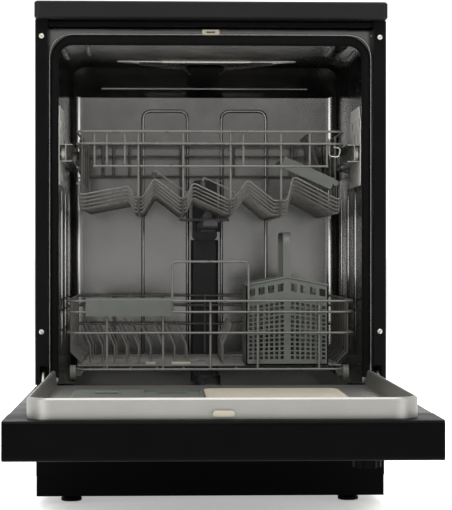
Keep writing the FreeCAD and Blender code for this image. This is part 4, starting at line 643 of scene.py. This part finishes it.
def turnedWheels():
    w = wheels
    for node, y in w["places"].items():
        build = bmesh.new()
        for side in (-1, 1):
            lathe(build, w["profile"], (side * w["x"], y, w["z"]), (side, 0, 0), w["sides"])
        meshPiece(turnedName(node), build, "grey_acetal", node, node)


def turnedRollers():
    r = rollers
    for nodesOf, (near, end) in ((r["tub"], r["tubX"]), (r["basket"], r["basketX"])):
        out = 1 if end > near else -1
        length = abs(end - near)
        profile = [*r["profile"], (r["axle"], length), (0, length)]
        for node, y in nodesOf.items():
            build = bmesh.new()
            for side in (-1, 1):
                lathe(build, profile, (side * near, y, r["z"]), (side * out, 0, 0), r["sides"])
            meshPiece(turnedName(node), build, "white_acetal", node, node)


def turnedFeet():
    f = feet
    profile = list(f["pad"])
    for i in range(f["threads"]):  # rolled thread of the stud, drawn within the bore of its boss
        z = f["threadStart"] + f["pitch"] * i
        profile += [(f["root"], z), (f["crest"], z + f["pitch"] / 2)]
    profile += f["end"]
    half = Vector(f["notchHalf"])
    for row in ("front", "rear"):
        for word, side in (("left", -1), ("right", 1)):
            node = "foot_%s_%s" % (row, word)
            build = bmesh.new()
            centre = Vector((side * f["x"], f[row], 0))
            lathe(build, profile, centre, (0, 0, 1), f["sides"])
            for i in range(f["notches"]):  # grips to turn the pad by
                angle = 2 * math.pi * i / f["notches"]
                reach = f["notchReach"]
                spot = centre + Vector((reach * math.cos(angle), reach * math.sin(angle), f["notchZ"]))
                softBlock(build, spot - half, spot + half, f["notchEdge"])
            meshPiece(turnedName(node), build, "black_abs", node, node)


turnedWheels()
turnedRollers()
turnedFeet()
print("wheels, rollers and feet turned")


# console: two push buttons, three lamp lenses and the dots round the dial, on the outer face of the door
console = {
    "face": 148.4, "row": -538, "buttons": {"power_button": -235, "start_button": 150}, "buttonDeep": 3,
    "buttonProfile": ((0, 0.9), (3.5, 0.5), (6.5, 0), (8, 0), (8.8, 0.35), (9, 1.1), (9, 12), (0, 12)),
    "lamps": (62, 80, 98), "lensProfile": ((2.4, -0.3), (2.4, 0.3), (1.6, 0.8), (0, 1.0)),
    "knob": 199, "ticks": 12, "tickTurn": 15, "tickReach": (25, 27.5),
    "tickProfile": ((0.9, -0.3), (0.9, 0.15), (0, 0.2)), "buttonSides": 48, "lensSides": 20, "tickSides": 10,
}
rinseAidCap = {
    "x": -167, "y": -297, "sides": 56, "top": 218.2,
    "gripHalf": (17.5, 3), "gripLow": 1.5, "gripTop": 221.1, "gripEdge": 1.4,
    "profile": ((0, 211.2), (11, 211.2), (11, 215.2), (22, 215.2), (22, 217.4), (21, 218.2), (18.5, 218.2),
                (18, 217.5), (0, 217.5)),
}
liner = {
    "plate": 205.2, "reflectionPatch": ((-15, -252), (206, -36)), "corner": 18, "cornerSteps": 8,
    "steps": ((1.0, -0.4), (1.0, 0.7), (0.99, 1.2), (0.9, 1.2), (0.89, 0.8), (0.88, 0.8), (0.87, 1.2)),
    "screws": ((-205, -545), (205, -545), (-205, -120), (208, -300)),
    "screwProfile": ((4, -0.4), (4, 0.3), (3.2, 0.95), (1.7, 1.15), (1.5, 0.5), (0, 0.5)), "screwSides": 24,
}


def consoleFittings():
    c = console
    for node, x in c["buttons"].items():
        build = bmesh.new()
        centre = (x, c["row"], c["face"] - c["buttonDeep"])
        lathe(build, c["buttonProfile"], centre, (0, 0, 1), c["buttonSides"])
        meshPiece(turnedName(node), build, "black_abs", node, node)
    lamps = bmesh.new()
    for x in c["lamps"]:
        lathe(lamps, c["lensProfile"], (x, c["row"], c["face"]), (0, 0, -1), c["lensSides"])
    meshPiece("lampLenses", lamps, "white_acetal", "door")
    ticks = bmesh.new()
    for i in range(c["ticks"]):
        angle = math.radians(360 / c["ticks"] * i + c["tickTurn"])
        for reach in c["tickReach"]:
            x, y = c["knob"] + reach * math.cos(angle), c["row"] + reach * math.sin(angle)
            lathe(ticks, c["tickProfile"], (x, y, c["face"]), (0, 0, -1), c["tickSides"])
    meshPiece("dialTicks", ticks, "white_acetal", "door")


def rinseCap():
    r = rinseAidCap
    x, y, (wide, deep) = r["x"], r["y"], r["gripHalf"]
    build = bmesh.new()
    lathe(build, r["profile"], (x, y, 0), (0, 0, 1), r["sides"])
    softBlock(build, (x - wide, y - deep, r["top"] - r["gripLow"]), (x + wide, y + deep, r["gripTop"]), r["gripEdge"])
    meshPiece("rinseCapTurned", build, "grey_green_plastic", "rinse_cap", "rinse_cap")


def linerFittings():  # thin pale sheet on the liner beside the dispenser, a painted reflection of the tub in the satin liner floor, and the liner's screws
    p = liner
    (x0, y0), (x1, y1) = p["reflectionPatch"]
    middle = Vector(((x0 + x1) / 2, (y0 + y1) / 2))
    radius = p["corner"]
    outline = []
    for cx, cy, start in ((x1, y1, 0), (x0, y1, 90), (x0, y0, 180), (x1, y0, 270)):
        centre = Vector((cx - math.copysign(radius, cx - middle.x), cy - math.copysign(radius, cy - middle.y)))
        for i in range(p["cornerSteps"] + 1):
            angle = math.radians(start + 90 * i / p["cornerSteps"])
            outline.append(centre + radius * Vector((math.cos(angle), math.sin(angle))))
    build = bmesh.new()
    rings = []
    for share, rise in p["steps"]:
        spots = [middle + (spot - middle) * share for spot in outline]
        rings.append([build.verts.new((spot.x, spot.y, p["plate"] + rise)) for spot in spots])
    skin(build, rings)
    # the pale sheet is painted reflection: it stands in for the light the liner floor mirrors from the tub
    meshPiece("linerPaintedReflection", build, "cream_acetal", "door")
    screws = bmesh.new()
    for x, y in p["screws"]:
        lathe(screws, p["screwProfile"], (x, y, p["plate"]), (0, 0, 1), p["screwSides"])
    meshPiece("linerScrews", screws, "stainless_rail", "door")


consoleFittings()
rinseCap()
linerFittings()
print("door fittings made")


# trim at the mouth of the tub: flange screws, and a thin bright line along the gasket's outer edge, the strip of tub
# flange there drawn in the brighter rail steel as a painted highlight
mouth = {
    "screwX": 288, "screwY": 53, "screwZ": (798, 296), "screwSides": 28,
    "screwProfile": ((4.6, -0.5), (4.6, 0.4), (4.1, 1.2), (2.6, 1.9), (1.8, 2.0), (1.5, 1.0), (0, 0.9)),
    "lineX": 276.2, "lineY": 84, "lineLow": 216, "lineTop": 805.2, "lineThick": 1.5, "lineCorner": 43,
    "lineSteps": 12,
}
# pressings of the tub, half sunk in its sheet: wall ribs, ceiling leaf, corner ribs and the windows of the back; the
# corner ribs are drawn in the brighter rail steel, a painted highlight
pressings = {
    "wall": 263, "ribY": (205, 330, 455), "ribZ": (246, 556), "ribThick": 9.0, "ribSteps": 12,
    "leafThick": 9.0, "leafBend": 30, "arcBend": 60,
    "leaf": ((167, 381, 790), (128, 400, 790), (88, 440, 790), (52, 482, 790), (42, 493, 790), (28, 508, 777.8)),
    "arc": ((-167, 376, 790), (-85, 384, 790), (0, 387, 790), (85, 384, 790), (167, 376, 790)),
    "corners": ((214, 790), (254, 782)), "cornerY": (112, 270), "cornerThick": 10.0, "cornerSteps": 8,
    "windowX": (33.5, 121.5), "windowZ": (226, 711), "windowY": 555.5, "windowThick": 7.0, "windowCorner": 18,
    "windowButt": 0.3,
}


def mouthTrim():
    m = mouth
    build = bmesh.new()
    for x in (-m["screwX"], m["screwX"]):
        for z in m["screwZ"]:
            lathe(build, m["screwProfile"], (x, m["screwY"], z), (0, -1, 0), m["screwSides"])
    meshPiece("flangeScrews", build, "zinc_steel", "cabinet")
    # thin line of the brighter rail steel on the flange edge beside the gasket: real flange strip with a painted
    # highlight
    x, y, low, top = m["lineX"], m["lineY"], m["lineLow"], m["lineTop"]
    route = bent([(-x, y, low), (-x, y, top), (x, y, top), (x, y, low)], m["lineCorner"], m["lineSteps"])
    wirePiece("flangeEdgeHighlight", [route], m["lineThick"], "stainless_rail", "cabinet")


def tubPressings():
    p = pressings
    low, high = p["ribZ"]
    near, far = p["cornerY"]
    steps, cornerSteps = p["ribSteps"], p["cornerSteps"]
    walls, leaves, corners, windows = [], [], [], []
    for side in (-1, 1):
        for y in p["ribY"]:
            walls.append([(side * p["wall"], y, low + (high - low) * i / steps) for i in range(steps + 1)])
        leaves.append(bent([(side * x, y, z) for x, y, z in p["leaf"]], p["leafBend"]))
        for x, z in p["corners"]:
            corners.append([(side * x, near + (far - near) * i / cornerSteps, z) for i in range(cornerSteps + 1)])
        (x0, x1), (z0, z1) = p["windowX"], p["windowZ"]
        middle = (x0 + x1) / 2
        route = [(middle, z0), (x0, z0), (x0, z1), (x1, z1), (x1, z0), (middle + p["windowButt"], z0)]
        windows.append(bent([(side * x, p["windowY"], z) for x, z in route], p["windowCorner"], shared["ringSteps"]))
    leaves.append(bent(p["arc"], p["arcBend"]))
    wirePiece("wallRibs", walls, p["ribThick"], "stainless_tub", "cabinet",
              swell=lambda share: min(1.0, 0.25 + 6 * min(share, 1 - share)))  # runs out at both ends
    wirePiece("ceilingRibs", leaves, p["leafThick"], "stainless_rail", "cabinet",
              swell=lambda share: 0.35 + 1.3 * math.sqrt(share * (1 - share)))  # fullest in the middle
    # corner ribs are pressings of the tub sheet drawn in the brighter rail steel: a painted highlight along them
    wirePiece("cornerRibsHighlit", corners, p["cornerThick"], "stainless_rail", "cabinet",
              swell=lambda share: min(1.0, 0.3 + 5 * min(share, 1 - share)))
    wirePiece("backWindows", windows, p["windowThick"], "stainless_tub", "cabinet")


# roller carriers: pierced plates on the walls, tapered above and below
carriers = {
    "x": 260.8, "thick": 1.0, "lowTaper": (560, 0.4), "topTaper": (660, 0.9),
    "ys": (104, 112, 118, 140, 150, 166, 176, 192, 202, 218, 232, 254, 264, 284),
    "zs": (548, 558, 572, 580, 592, 614, 624, 640, 650, 664, 674, 686),
    "holes": {(2, 4), (10, 4), (4, 1), (6, 1), (8, 1), (4, 6), (8, 6), (2, 8), (6, 8), (10, 8)},
}


def rollerCarriers():
    c = carriers
    (lowZ, lowRate), (topZ, topRate) = c["lowTaper"], c["topTaper"]
    front, back = c["ys"][0], c["ys"][-1]
    build = bmesh.new()
    for side in (-1, 1):
        def face(y, z):
            lean = max(0, lowZ - z) * lowRate + max(0, z - topZ) * topRate
            return (side * c["x"], min(max(y, front + lean), back - lean), z)
        pierced(build, c["ys"], c["zs"], lambda i, j: (i, j) in c["holes"], face, c["thick"])
    meshPiece("rollerCarriers", build, "white_acetal", "cabinet")


# apron: ribbed black plastic sheet that stands in the base tray behind the plinth and closes the view under the door;
# it is painted shade, a dark sheet that keeps the gap under the door dark
apron = {"half": 276, "y": 103, "low": 36.9, "top": 164, "foot": 10, "lip": 10, "wall": 1.6, "bend": 4,
         "ribs": 6, "ribPitch": 92, "ribFlat": 6, "ribHalf": 10, "ribDeep": 2.5}


def baseShadeApron():
    a = apron
    y, low, top = a["y"], a["low"], a["top"]
    route = bent([(0, y + a["foot"], low), (0, y, low), (0, y, top), (0, y + a["lip"], top)], a["bend"])
    middles = [(i - (a["ribs"] - 1) / 2) * a["ribPitch"] for i in range(a["ribs"])]
    reaches = (-a["ribHalf"], -a["ribFlat"], a["ribFlat"], a["ribHalf"])
    xs = [-a["half"]] + [middle + reach for middle in middles for reach in reaches] + [a["half"]]

    def place(x, k):
        spot = route[k]
        upright = abs(spot.y - y) < 0.01  # on the flat of the sheet, not in its bends
        inRib = upright and min(abs(x - middle) for middle in middles) <= a["ribFlat"]
        return (x, spot.y + (a["ribDeep"] if inRib else 0), spot.z)

    build = bmesh.new()
    pierced(build, xs, range(len(route)), lambda i, j: False, place, a["wall"])
    # the black sheet is painted shade for the gap under the door
    meshPiece("baseShadeApron", build, "black_abs", "cabinet")


mouthTrim()
tubPressings()
rollerCarriers()
baseShadeApron()
print("tub trim made")


# studio: pale paper floor, dim room in front, bright room behind, five soft boxes (place, target, size, watts)
studio = {
    "floor": 400.0, "floorZ": -0.0005, "front": 0.38, "back": 1.3, "fade": (-0.2, 0.7), "sky": "#fbfbfa",
    "paperGlow": 0.36,
    "boxes": {
        "overheadBox": ((0, -0.7, 3.4), (0, 0, 0.5), (3.2, 2.6), 54.0),
        "leftBox": ((-2.7, -3.3, 1.3), (0, 0.2, 0.45), (1.7, 2.3), 40.0),
        "rightBox": ((2.7, -3.3, 1.3), (0, 0.2, 0.45), (1.7, 2.3), 34.0),
        "frontTopBox": ((0, -2.0, 2.7), (0, 0.3, 0.5), (2.4, 0.8), 48.0),
        "rearBox": ((0, 3.2, 3.6), (0, 1.8, 0), (5.0, 2.0), 150.0),
    },
}


def softBox(name, spot, target, size, power):
    light = bpy.data.lights.new(name, "AREA")
    light.shape = "RECTANGLE"
    light.size, light.size_y = size
    light.energy = power
    lamp = bpy.data.objects.new(name, light)
    lamp.location = spot
    lamp.rotation_euler = (Vector(target) - Vector(spot)).to_track_quat("-Z", "Y").to_euler()
    bpy.context.scene.collection.objects.link(lamp)


def buildStudio():
    half, z = studio["floor"] / 2, studio["floorZ"]
    sheet = bpy.data.meshes.new("studioFloor")
    sheet.from_pydata([(-half, -half, z), (half, -half, z), (half, half, z), (-half, half, z)], [], [(0, 1, 2, 3)])
    floor = bpy.data.objects.new("studioFloor", sheet)
    bpy.context.scene.collection.objects.link(floor)
    # uncoated backdrop paper from a roll: even white, matt, faintly clouded
    sheet.materials.append(surface(
        "studioPaper", {"Base Color": "#f1f1ef", "Roughness": 0.7, "Emission Color": "#ffffff",
                        "Emission Strength": studio["paperGlow"]},
        {"size": 300, "detail": 2.0, "tint": ("#efefed", "#f3f3f1")}))
    world = bpy.context.scene.world or bpy.data.worlds.new("studioRoom")
    bpy.context.scene.world = world
    world.use_nodes = True
    tree = world.node_tree
    at = addNode(tree, "ShaderNodeTexCoord")
    along = addNode(tree, "ShaderNodeSeparateXYZ", {}, {"Vector": at.outputs["Generated"]})
    start, end = studio["fade"]
    glow = addNode(tree, "ShaderNodeMapRange",
                   {"interpolation_type": "SMOOTHSTEP", "From Min": start, "From Max": end,
                    "To Min": studio["front"], "To Max": studio["back"]}, {"Value": along.outputs["Y"]})
    sky = tree.nodes["Background"]
    sky.inputs["Color"].default_value = linear(studio["sky"])
    tree.links.new(glow.outputs["Result"], sky.inputs["Strength"])
    for name, box in studio["boxes"].items():
        softBox(name, *box)


# camera at the photograph's place: level, about 3.1 m from the front, turned two degrees to the right
lens = {"place": (-0.083, -3.043, 0.4265), "turn": 2.0, "focal": 128.5, "sensor": 36.0}


def buildCamera():
    data = bpy.data.cameras.new("photoCamera")
    data.lens = lens["focal"]
    data.sensor_width = lens["sensor"]
    camera = bpy.data.objects.new("photoCamera", data)
    camera.location = lens["place"]
    camera.rotation_euler = (math.radians(90), 0, math.radians(-lens["turn"]))
    bpy.context.scene.collection.objects.link(camera)
    bpy.context.scene.camera = camera
    bpy.context.scene.view_settings.view_transform = "Standard"


buildStudio()
buildCamera()
print("studio and camera ready")
